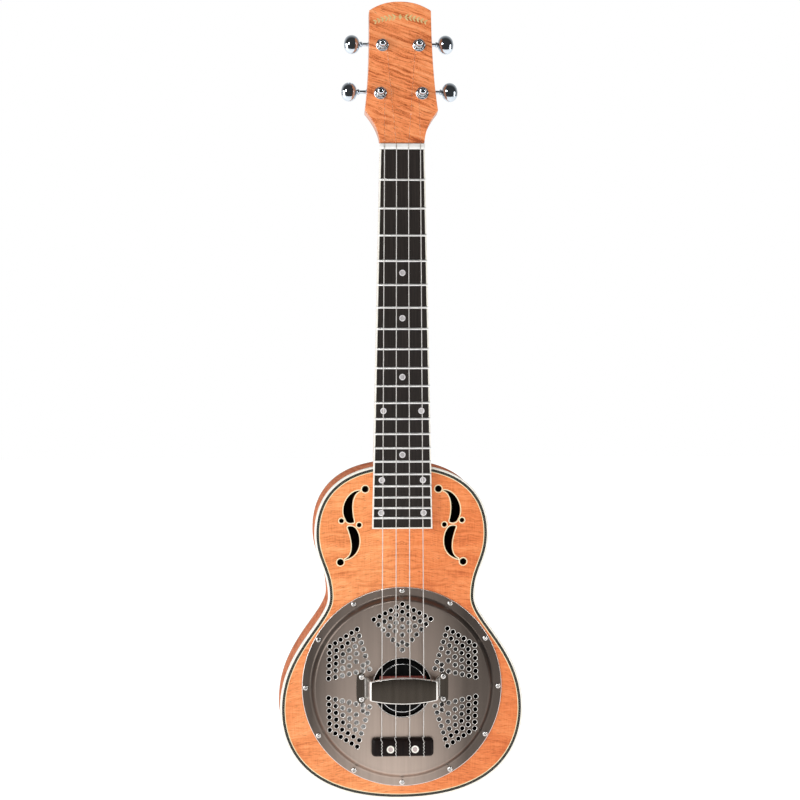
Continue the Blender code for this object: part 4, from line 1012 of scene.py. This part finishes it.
def neck_depth(z):
    """The slender neck's depth, before the heel and the headstock."""
    return NECK_DEPTH_NUT + (NECK_DEPTH_BODY - NECK_DEPTH_NUT) * z / -200.0


def neck_rings():
    """Sections from the heel's flat end up to inside the headstock slab."""
    rings = []
    heel = ((TOP_Z + 0.1, 1.0), (-247.0, 0.97), (-241.0, 0.80), (-235.0, 0.55), (-228.0, 0.30),
            (-219.0, 0.12), (-208.0, 0.03), (-196.0, 0.0))
    for z, share in smooth_between(heel, 3):
        share = min(max(share, 0.0), 1.0)
        slender = neck_depth(max(z, -200.0))
        depth = slender + (HEEL_DEPTH - slender) * share
        half = board_half(z)
        shoulder = half - 0.4 - (half - 14.5) * min(share * 1.2, 1.0)
        rings.append(neck_section(half, depth, shoulder, 2.0 + 6.0 * share, 2.2,
                                  lambda x, y, z=z: (x, y, z)))
    for z, trim, power in ((-170.0, 0.0, 2.2), (-130.0, 0.0, 2.2), (-90.0, 0.0, 2.2), (-50.0, 0.0, 2.2),
                           (-25.0, 0.0, 2.2), (-14.0, 0.05, 2.3), (-8.0, 0.25, 2.5), (-3.0, 0.8, 2.9)):
        half = board_half(z)
        rings.append(neck_section(half, neck_depth(z) - trim, half - 0.4, 2.0, power,
                                  lambda x, y, z=z: (x, y, z)))
    for height, depth, power, half in ((-3.6, 13.4, 3.4, 17.8), (-1.6, 12.8, 4.2, 17.8),
                                       (0.6, 12.1, 5.4, 17.8), (3.0, 11.5, 7.0, 17.8),
                                       (5.0, 10.5, 7.0, 16.0)):
        rings.append(neck_section(half, depth, half, 1.0, power,
                                  lambda x, y, h=height: head_point(x, SLAB_FRONT + 0.3 + y, h)))
    return rings


def bushing_holes():
    return [circle(BUSHING_HOLE, 32, side * x, z) for side in (1, -1) for x, z in (UPPER_POST, LOWER_POST)]


def make_neck(neck_wood, veneer_maple, dark_line):
    slab_shape = slab(head_outline(SLAB_FOOT, 17.9), bushing_holes(), SLAB_FRONT, SLAB_BACK, 0.9, 4)
    neck = piece("neck_and_headstock", moved(slab_shape, head_point), neck_wood, ["neck"])
    shaft = piece("neck_shaft", loft(neck_rings()), neck_wood)
    union(neck, shaft)
    face = head_outline(VENEER_FOOT, 18.05)
    shape = slab(face, bushing_holes(), 0.0, VENEER - 0.35, 0.35, 3)
    piece("headstock_face", moved(shape, head_point), veneer_maple, ["headstock_veneer"],
          flat=HEAD_AXIS)
    shape = slab(offset(face, 0.12), bushing_holes(), VENEER - 0.35, SLAB_FRONT, 0.05, 1)
    piece("headstock_veneer_line", moved(shape, head_point), dark_line)


def leaf(x, z, angle, length, width):
    """A small pointed leaf, its base at (x, z)."""
    points = []
    steps = 8
    for hand in (1, -1):
        for i in range(steps):
            t = i / steps if hand == 1 else 1 - i / steps
            across = hand * width / 2 * math.sin(math.pi * t) ** 0.8 * (1.15 - 0.3 * t)
            points.append((length * t, across))
    c, s = math.cos(angle), math.sin(angle)
    return [(x + u * c - v * s, z + u * s + v * c) for u, v in points]


def make_head_ornament(gold):
    """A plain arched sprig of leaves let into the headstock's face."""
    shapes = []
    radius, centre_z, half_stem, bud = 52.0, 51.6, 0.22, 2.6
    stem_steps = 18
    for side in (-1, 1):
        for i in range(6):
            angle = math.pi / 2 - side * math.radians(4.0 + 3.6 * i)
            x, z = radius * math.cos(angle), centre_z + radius * math.sin(angle)
            for lean in (0.75, -0.75):
                shapes.append(leaf(x, z, angle - side * math.pi / 2 + lean, 4.3 - 0.28 * i, 1.25))
        edges = []
        for reach in (radius + half_stem, radius - half_stem):
            angles = [math.pi / 2 - side * math.radians(2.6 + 20.6 * i / stem_steps)
                      for i in range(stem_steps + 1)]
            edges.append([(reach * math.cos(a), centre_z + reach * math.sin(a)) for a in angles])
        shapes.append(edges[0] + edges[1][::-1])
    top = centre_z + radius
    shapes.append([(0.0, top + bud), (-1.5, top), (0.0, top - bud), (1.5, top)])
    parts = [loft([level(loop, 0.25), level(loop, -INLAY)], caps=False) for loop in shapes]
    parts += [cap(loop, [], y) for loop in shapes for y in (0.25, -INLAY)]
    piece("headstock_sprig", moved(gather(*parts), head_point), gold)


def fret_shape(z):
    """A crowned wire across the board, its ends rounded down to the binding."""
    steps, half = 8, board_half(z)
    root = BOARD_FRONT + 0.3
    crown = []
    for i in range(steps + 1):
        angle = math.pi * i / steps
        crown.append((FRET_WIDTH / 2 * math.cos(angle), -FRET_HEIGHT * math.sin(angle) ** 0.8))
    rings = []
    for x, size in ((-half, 0.35), (-half + 0.25, 0.75), (-half + 0.8, 1.0), (half - 0.8, 1.0),
                    (half - 0.25, 0.75), (half, 0.35)):
        ring = [(x, BOARD_FRONT + 0.1 + (y * size - 0.1), z + across) for across, y in crown]
        rings.append(ring + [(x, root, z - FRET_WIDTH / 4), (x, root, z + FRET_WIDTH / 4)])
    return loft(rings)


def make_fingerboard(rosewood, ivory, steel, pearl, dot_grey):
    top, end = -0.3, BOARD_END + BOARD_BINDING

    def wedge(inset, z_end):
        right = [(board_half(z_end) - inset, z_end), (board_half(top) - inset, top)]
        return [(-x, z) for x, z in reversed(right)] + right

    board = slab(wedge(BOARD_BINDING + 0.02, end), [], BOARD_FRONT, BOARD_BACK, 0.05, 1)
    piece("fretboard_wood", board, rosewood, ["fingerboard"], flat=FRONT_AXIS)
    strip = wedge(0.0, BOARD_END) + wedge(BOARD_BINDING, end)[::-1]
    piece("fretboard_edging", slab(strip, [], BOARD_FRONT + 0.02, BOARD_BACK, 0.25, 3), ivory,
          ["fingerboard_binding"])
    for n in range(1, FRETS + 1):
        piece(f"fret_{n:02d}", fret_shape(fret_place(n)), steel, crease=50)

    dots = [(5, 0.0), (7, 0.0), (10, 0.0), (15, 0.0), (12, 15.3), (12, -15.3), (17, 16.6), (17, -16.6),
            (20, 17.1), (20, -17.1)]
    profile = ((0, 0.5), (2.5, 0.5), (2.5, -0.01), (2.35, -0.05), (1.75, -0.055), (0, -0.06))
    disc = [(radius, BOARD_FRONT + y) for radius, y in profile]
    for i, (n, x) in enumerate(dots):
        z = (fret_place(n) + fret_place(n - 1)) / 2
        piece(f"position_dot_{i + 1:02d}", turned(disc, 36, x, z), pearl,
              more_finishes=(dot_grey,),
              choose=lambda normal, centre, x=x, z=z: math.hypot(centre.x - x, centre.z - z) < 1.7)


def make_nut(bone):
    """The nut's front edge carries the strings in notches, and its face falls away behind them."""
    half = BOARD_HALF_NUT
    end = ((half, 0.45), (half - 0.15, 0.15), (half - 0.5, 0.0))
    xs = [(-x, drop) for x, drop in end]
    notch = STRING_RADIUS + 0.12
    for step in STRING_STEPS:
        for share, drop in ((-1, 0.0), (-0.8, 0.55), (0, 0.72), (0.8, 0.55), (1, 0.0)):
            xs.append((step * NUT_SPACING + notch * share, drop))
    xs += reversed(end)
    face = ((0.25, 0.0), (0.06, 0.12), (0.0, 0.35), (0.0, 1.5), (0.3, 2.1), (1.6, 4.1), (2.0, 4.6),
            (2.6, NUT_TOP))
    rings = []
    for x, drop in xs:
        front = [(x, NUT_FRONT + drop + back, z) for back, z in face]
        rings.append([(x, -0.3, 0.0), *front, (x, -0.3, NUT_TOP)])
    piece("nut_block", loft(rings), bone, ["nut"], crease=40)


# ---- Strings ---------------------------------------------------------------------------------

def coil_points(post, nut_x, side):
    """Two turns round the post's waist, in the headstock's frame, from the tangent point inwards."""
    (x, z), radius = post, 2.4 + 0.3 + STRING_RADIUS
    x *= side
    nut_y, nut_z = -5.5, -2.0
    towards = math.atan2(nut_z - z, nut_x - x)
    reach = math.hypot(nut_x - x, nut_z - z)
    hand = -side
    start = towards + hand * math.acos(radius / reach)
    turns, per_turn, pitch = 2, 24, 1.0
    points = []
    for i in range(turns * per_turn + 1):
        angle = start + hand * 2 * math.pi * i / per_turn
        y = nut_y + 0.1 + pitch * i / per_turn
        points.append(head_point(x + radius * math.cos(angle), y, z + radius * math.sin(angle)))
    return points


def tie_points(x):
    """The string's tail: back over the block's face, twisted round itself up to the top edge."""
    points = [(x, STRING_Y_ANCHOR, ANCHOR_BOTTOM + 0.5), (x, STRING_Y_ANCHOR, ANCHOR_BOTTOM - 0.35),
              (x, STRING_Y_ANCHOR - 1.2, ANCHOR_BOTTOM - 0.55),
              (x, ANCHOR_FRONT - 0.1, ANCHOR_BOTTOM - 0.2)]
    steps, pitch, radius = 60, 2.6, 0.34
    low, high = ANCHOR_BOTTOM + 0.6, ANCHOR_TOP - 2.6
    for i in range(steps + 1):
        z = low + (high - low) * i / steps
        angle = 2 * math.pi * (z - low) / pitch
        points.append((x + radius * math.sin(angle), ANCHOR_FRONT - 0.72 - radius * math.cos(angle), z))
    knot = ((-0.3, ANCHOR_FRONT - 0.2, -1.6), (-0.75, ANCHOR_FRONT + 1.0, -0.6),
            (-0.8, STRING_Y_ANCHOR - 0.2, 0.45), (0.0, STRING_Y_ANCHOR + 0.7, 0.7),
            (0.75, STRING_Y_ANCHOR - 0.1, 0.75), (0.4, STRING_Y_ANCHOR - 0.85, 1.0),
            (-0.5, STRING_Y_ANCHOR - 0.75, 1.3))
    return points + [(x + across, y, ANCHOR_TOP + above) for across, y, above in knot]


def make_strings(material, clear):
    for name, step in zip(STRING_NAMES, STRING_STEPS):
        side = 1 if step > 0 else -1
        post = UPPER_POST if abs(step) < 1 else LOWER_POST
        nut_x, saddle_x = step * NUT_SPACING, step * SADDLE_SPACING
        path = coil_points(post, nut_x, side)[::-1]
        path += [(nut_x, STRING_Y_NUT - 0.02, 1.6), (nut_x, STRING_Y_NUT, 0.0),
                 (saddle_x, STRING_Y_SADDLE, SADDLE_Z + 0.7), (saddle_x, STRING_Y_SADDLE, SADDLE_Z - 0.7),
                 (saddle_x, STRING_Y_ANCHOR - 0.4, ANCHOR_TOP + 6),
                 (saddle_x, STRING_Y_ANCHOR, ANCHOR_TOP + 4),
                 (saddle_x, STRING_Y_ANCHOR, ANCHOR_TOP - 1)]
        straight = tube(path, STRING_RADIUS, 10)
        tail = tube(tie_points(saddle_x), 0.3, 8)
        piece(f"string_{name}_run", gather(straight, tail), material,
              [f"string_{name}"], crease=60, more_finishes=(clear,),
              choose=lambda normal, centre: centre.z > 1.0)


# ---- Tuning machines, in the headstock's frame -----------------------------------------------

def housing_shape(post, side):
    """A die-cast cup with a crowned back and a collar for the shaft."""
    x, z = side * post[0], post[1]
    front = SLAB_BACK + 0.05
    rings = []
    for grow, radius, y in ((0.0, 2.0, CASE_FLOOR), (0.0, 2.0, front), (1.0, 3.0, front),
                            (1.2, 3.2, front + 0.25), (1.2, 3.2, 25.0), (1.2, 3.2, 25.2), (1.0, 3.1, 25.3),
                            (1.0, 3.1, 25.55), (1.2, 3.2, 25.65), (1.2, 3.2, 27.4), (1.05, 3.1, 27.9),
                            (0.6, 3.0, 28.35), (0.0, 2.8, 28.6), (-1.2, 2.4, CASE_BACK)):
        half = CASE_HALF + grow
        loop = rounded_rectangle(x - half, x + half, z - half, z + CASE_TOP + grow, radius, 7)
        rings.append(level(loop, y))
    collar = []
    for u, radius in ((7.4, 2.6), (9.0, 2.6), (9.15, 2.45), (9.15, 1.75), (7.4, 1.75)):
        loop = circle(radius, 28, z + WORM_DISTANCE, BUTTON_AXIS_Y)
        collar.append([(x + side * u, y, height) for height, y in loop])
    return gather(loft(rings), loft(collar, closed=True))


def worm_radius(u, angle):
    """Radius of the thread at u along the shaft; angle is 0 on the side that faces the gear."""
    phase = (u / WORM_PITCH - angle / (2 * math.pi)) % 1.0
    away = min(phase, 1.0 - phase) * WORM_PITCH
    height = min(max((0.52 - away) / 0.36, 0.0), 1.0)
    return WORM_PITCH_RADIUS - DEDENDUM + (DEDENDUM + ADDENDUM) * height


def shaft_shape(post, side, button_u):
    """Worm, shaft, collar and oval button in one piece, turning about the shaft's own axis.

    Each section is u along the shaft and its half height and half width; None stands for the thread.
    """
    sides, worm_half, worm_steps = 40, 3.5, 28
    x, axis_z = side * post[0], post[1] + WORM_DISTANCE
    sections = [(-6.2, 0.9, 0.9), (-6.0, 1.3, 1.3), (-3.9, 1.3, 1.3)]
    sections += [(-worm_half + 2 * worm_half * i / worm_steps, None, None) for i in range(worm_steps + 1)]
    neck = button_u - 6.6
    sections += [(3.9, 1.5, 1.5), (4.2, 1.55, 1.55), (9.2, 1.6, 1.6), (9.3, 2.2, 2.2), (9.6, 2.35, 2.35),
                 (10.2, 2.35, 2.35), (10.5, 2.1, 2.1), (10.7, 1.6, 1.6), (neck - 2.3, 1.5, 1.5),
                 (neck - 2.0, 2.1, 2.0), (neck - 1.5, 2.5, 2.3), (neck - 0.8, 2.5, 2.3),
                 (neck - 0.4, 2.2, 2.0), (neck - 0.15, 2.0, 1.8)]
    length, button_steps = 12.6, 26
    for i in range(1, button_steps):
        t = math.pi * i / button_steps
        high = max(8.0 * math.sin(t) ** 0.82, 1.4)
        wide = max(3.7 * math.sin(t) ** 0.75, 1.2)
        sections.append((neck + length / 2 * (1 - math.cos(t)), high, wide))
    rings = []
    for u, half_z, half_y in sections:
        ring = []
        for i in range(sides):
            angle = 2 * math.pi * i / sides
            high = worm_radius(u, angle) if half_z is None else half_z
            wide = high if half_y is None else half_y
            ring.append((x + side * u, BUTTON_AXIS_Y + wide * math.sin(angle),
                         axis_z - high * math.cos(angle)))
        rings.append(ring)
    rings.append([(x + side * (neck + length), BUTTON_AXIS_Y, axis_z)])
    return loft(rings)


def gear_ring(x, z, y, twist):
    """Trapezoid teeth; with no twist a gap faces the worm."""
    ring = []
    for tooth in range(GEAR_TEETH):
        for share, radius in ((-0.30, GEAR_PITCH_RADIUS - DEDENDUM), (-0.10, GEAR_PITCH_RADIUS + ADDENDUM),
                              (0.10, GEAR_PITCH_RADIUS + ADDENDUM), (0.30, GEAR_PITCH_RADIUS - DEDENDUM)):
            angle = math.pi / 2 + twist + 2 * math.pi * (tooth + 0.5 + share) / GEAR_TEETH
            ring.append((x + radius * math.cos(angle), y, z + radius * math.sin(angle)))
    return ring


def post_shape(post, side):
    """String post with a dimpled crown and a waist, and its helical gear behind the slab."""
    x, z = side * post[0], post[1]
    lead = WORM_PITCH / (2 * math.pi * WORM_PITCH_RADIUS)
    twist = side * GEAR_HALF_WIDTH * lead / GEAR_PITCH_RADIUS
    rings = []
    for k in range(-2, 3):
        rings.append(gear_ring(x, z, BUTTON_AXIS_Y + GEAR_HALF_WIDTH * k / 2, twist * k / 2))
    profile = [(0, -8.9), (0.7, -9.0), (1.1, -9.5), (1.4, -9.6), (2.0, -9.55), (2.5, -9.35),
               (2.85, -8.95), (3.0, -8.4), (3.0, -7.0), (2.85, -6.6), (2.4, -6.2), (2.4, -3.2),
               (2.7, -2.95), (2.9, -2.8), (2.9, 20.0), (2.2, 20.0), (2.2, 27.0), (2.0, 27.2), (0, 27.2)]
    return gather(loft(rings), turned(profile, 36, x, z))


def bushing_shape(post, side):
    """Hex nut with chamfered corners, washer and sleeve that line the post's hole from the front."""
    x, z = side * post[0], post[1]
    sides = 48
    profile = [(3.1, 0, SLAB_BACK - 0.2), (3.1, 0, -2.45), (3.35, 0, -2.7), (4.05, 0, -2.7),
               (4.3, 1, -2.45), (4.3, 1, -1.25), (4.1, 0, -1.1), (4.9, 0, -1.08), (5.1, 0, -0.95),
               (5.15, 0, -0.7), (5.15, 0, -0.08), (3.9, 0, -0.05), (3.9, 0, SLAB_BACK - 0.2)]
    rings = []
    for radius, hexagonal, y in profile:
        ring = []
        for i in range(sides):
            angle = 2 * math.pi * i / sides
            reach = radius
            if hexagonal:
                sector = (angle % (math.pi / 3)) - math.pi / 6
                reach = min(radius * 0.985 / math.cos(sector), 4.85)
            ring.append((x + reach * math.cos(angle), y, z + reach * math.sin(angle)))
        rings.append(ring)
    return loft(rings, closed=True)


def make_tuners(chrome):
    for side, word in ((-1, "left"), (1, "right")):
        for post, button, row in ((UPPER_POST, UPPER_BUTTON, "upper"), (LOWER_POST, LOWER_BUTTON, "lower")):
            place = f"{row}_{word}"
            for name, shape, node, body in (
                    ("case", housing_shape(post, side), "housing", "instrument"),
                    ("button", shaft_shape(post, side, button), "shaft", f"button_{place}"),
                    ("post", post_shape(post, side), "post", f"post_{place}"),
                    ("ferrule", bushing_shape(post, side), "bushing", "instrument")):
                piece(f"machine_{name}_{place}", moved(shape, head_point), chrome,
                      [f"tuner_{node}_{place}"], body)


# ---- Studio ----------------------------------------------------------------------------------

def put_in_scene(name, data, place, target):
    """A camera or light at a place, looking at a target."""
    thing = bpy.data.objects.new(name, data)
    thing.location = place
    thing.rotation_euler = (Vector(target) - Vector(place)).to_track_quat("-Z", "Y").to_euler()
    bpy.context.scene.collection.objects.link(thing)
    return thing


def make_lights():
    for name, place, size, power in AREA_LIGHTS:
        light = bpy.data.lights.new(name, "AREA")
        light.shape = "RECTANGLE"
        light.size, light.size_y = size
        light.energy = power
        put_in_scene(name, light, place, MIDDLE)
    for name, place, target, spread, power in SPOT_LIGHTS:
        light = bpy.data.lights.new(name, "SPOT")
        light.energy = power
        light.spot_size = math.radians(2 * spread)
        light.spot_blend = 0.6
        light.shadow_soft_size = 0.12
        put_in_scene(name, light, place, target)


def make_world():
    """Darker in front of the instrument than behind it, and plain white where the camera sees it."""
    world = bpy.data.worlds.new("studio")
    world.use_nodes = True
    tree = world.node_tree
    direction = tree.nodes.new("ShaderNodeTexCoord")
    parts = tree.nodes.new("ShaderNodeSeparateXYZ")
    shade = tree.nodes.new("ShaderNodeMapRange")
    path = tree.nodes.new("ShaderNodeLightPath")
    pick = tree.nodes.new("ShaderNodeMix")
    tree.links.new(direction.outputs["Generated"], parts.inputs[0])
    tree.links.new(parts.outputs[1], shade.inputs["Value"])
    for socket, value in (("From Min", -0.4), ("From Max", 0.5), ("To Min", 0.05), ("To Max", 0.7)):
        shade.inputs[socket].default_value = value
    tree.links.new(path.outputs["Is Camera Ray"], pick.inputs[0])
    tree.links.new(shade.outputs[0], pick.inputs[2])
    pick.inputs[3].default_value = 1.0
    background = tree.nodes["Background"]
    background.inputs["Color"].default_value = WHITE
    tree.links.new(pick.outputs[0], background.inputs["Strength"])
    return world


def make_floor():
    z = CAD_BOX[0].z - FLOOR_GAP
    corners = [(x * FLOOR_HALF, y * FLOOR_HALF, z) for x, y in ((-1, -1), (1, -1), (1, 1), (-1, 1))]
    mesh = bpy.data.meshes.new("floor")
    mesh.from_pydata(corners, [], [(0, 1, 2, 3)])
    paper = Finish("pale_floor", grey(0.35), 0.8)
    paper.set("Emission Color", WHITE)
    paper.set("Emission Strength", FLOOR_GLOW)
    mesh.materials.append(paper.material)
    floor = bpy.data.objects.new("floor", mesh)
    bpy.context.scene.collection.objects.link(floor)


def make_studio():
    scene = bpy.context.scene
    scene.view_settings.view_transform = "Standard"
    scene.view_settings.look = "None"
    camera_data = bpy.data.cameras.new("camera")
    camera_data.lens = LENS_MM
    camera_data.sensor_width = SENSOR_MM
    scene.camera = put_in_scene("camera", camera_data, CAMERA_PLACE, CAMERA_TARGET)
    scene.world = make_world()
    make_floor()
    make_lights()


# ---- Assembly --------------------------------------------------------------------------------

def main():
    body_stops = ((0.0, (0.62, 0.165, 0.040)), (0.35, (0.84, 0.27, 0.080)), (0.65, (0.92, 0.33, 0.11)),
                  (1.0, (0.98, 0.42, 0.17)))
    head_stops = ((0.0, (0.44, 0.095, 0.026)), (0.35, (0.83, 0.245, 0.083)), (0.65, (0.94, 0.315, 0.118)),
                  (1.0, (0.99, 0.40, 0.175)))
    side_stops = ((0.0, (0.38, 0.115, 0.058)), (0.35, (0.56, 0.19, 0.10)), (0.65, (0.64, 0.23, 0.122)),
                  (1.0, (0.72, 0.29, 0.155)))
    maple = flamed_maple("figured_maple_front", body_stops, tilt=0.10, seam=(0.88, 0.66, 0.50))
    head_maple = flamed_maple("figured_maple_head", head_stops, mirrored=False, tilt=0.36, wave=2.1,
                              shares=(0.46, 0.30, 0.10, 0.14), wander_mm=5.0)
    side_maple = flamed_maple("figured_maple_sides", side_stops, strip=True, shine=0.0)
    back_maple = flamed_maple("figured_maple_back", side_stops, tilt=0.25)
    neck_wood = plain_wood("neck_maple", (0.52, 0.20, 0.10), (0.68, 0.29, 0.16), 0.3, coat=0.4)
    # Near-black wood for the body's inside and the plate's hole walls: painted shade.
    inside = plain_wood("inside_painted_shade", (0.012, 0.008, 0.005), (0.035, 0.022, 0.013), 0.75)
    rosewood = plain_wood("dark_rosewood", (0.008, 0.006, 0.005), (0.026, 0.019, 0.016), 0.42, ring=0.9)
    anchor_wood = plain_wood("anchor_rosewood", (0.003, 0.0015, 0.0015), (0.012, 0.006, 0.005), 0.34,
                             gloss=0.12)
    # Near-black wood for the biscuit: painted shade for the deep hole under the handrest.
    black = plain_wood("biscuit_painted_shade", (0.001, 0.001, 0.001), (0.006, 0.006, 0.006), 0.4, gloss=0.06)
    lacquer = polished("biscuit_edge", (0.85, 0.85, 0.85), 0.22)
    saddle_wood = plain_wood("saddle_wood_red", (0.11, 0.020, 0.015), (0.24, 0.055, 0.042), 0.35)
    ivory = moulded("edge_ivory", (0.96, 0.93, 0.86), (0.90, 0.86, 0.76), 0.28)
    cream = moulded("line_cream", (0.95, 0.82, 0.55), (0.86, 0.70, 0.42), 0.3)
    bone = moulded("nut_bone", (0.97, 0.96, 0.93), (0.90, 0.90, 0.87), 0.32, 3.0)
    dot_grey = moulded("dot_grey", (0.52, 0.50, 0.50), (0.36, 0.34, 0.35), 0.2, 1.6)
    pearl = moulded("dot_pearl", (0.88, 0.86, 0.86), (0.62, 0.58, 0.60), 0.2, 1.6)
    cap_metal = moulded("cap_pink_grey", (0.55, 0.45, 0.44), (0.45, 0.37, 0.36), 0.35, 1.2)
    gold = moulded("sprig_gold", (0.78, 0.62, 0.30), (0.60, 0.44, 0.18), 0.3, 2.0)
    slips = rope("rope_slips", (0.005, 0.006, 0.005), (0.26, 0.26, 0.22))
    # The plate's nickel has painted reflection and shade in its tone.
    nickel = brushed("nickel_brushed", (0.03, 0.025, 0.022), (0.66, 0.53, 0.45), 0.34, plate=True)
    # A darkened copy of the nickel for the handrest's face: painted shade.
    rest_nickel_painted_shade = brushed("nickel_handrest_painted_shade", (0.050, 0.042, 0.034), (0.068, 0.057, 0.047), 0.28)
    # A lighter copy of the nickel for edges and rims: painted highlight.
    nickel_painted_highlight = polished("nickel_bright_painted_highlight", (0.97, 0.94, 0.90), 0.32)
    aluminium = spun("cone_aluminium", (0.85, 0.84, 0.82), (0.98, 0.97, 0.96), 0.34)
    chrome = polished("tuner_chrome", (0.66, 0.72, 0.78), 0.07)
    steel = polished("screw_steel", (0.74, 0.72, 0.70), 0.14)
    fret_nickel = polished("fret_nickel", (0.97, 0.96, 0.94), 0.38)
    milky, clear = nylon("string_nylon", 0.35, 1.5), nylon("string_nylon_clear", 1.0, 1.12)

    # The inner blocks, linings and sound well take the same painted shade.
    for node in ("front_lining", "back_lining", "neck_block", "tail_block", "sound_well"):
        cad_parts[node].data.materials[0] = inside
    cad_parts["biscuit_screw"].data.materials[0] = steel

    make_body(maple, side_maple, back_maple, inside, ivory, cream, slips, rosewood)
    make_hole_edging(cream)
    make_coverplate(nickel, nickel_painted_highlight, inside)
    make_cone(aluminium)
    make_biscuit(black, lacquer, saddle_wood)
    make_screws(steel)
    make_handrest(rest_nickel_painted_shade, nickel_painted_highlight)
    make_string_anchor(anchor_wood, ivory, cap_metal)
    make_neck(neck_wood, head_maple, rosewood)
    make_head_ornament(gold)
    make_fingerboard(rosewood, ivory, fret_nickel, pearl, dot_grey)
    make_nut(bone)
    make_strings(milky, clear)
    make_tuners(chrome)
    make_studio()


main()
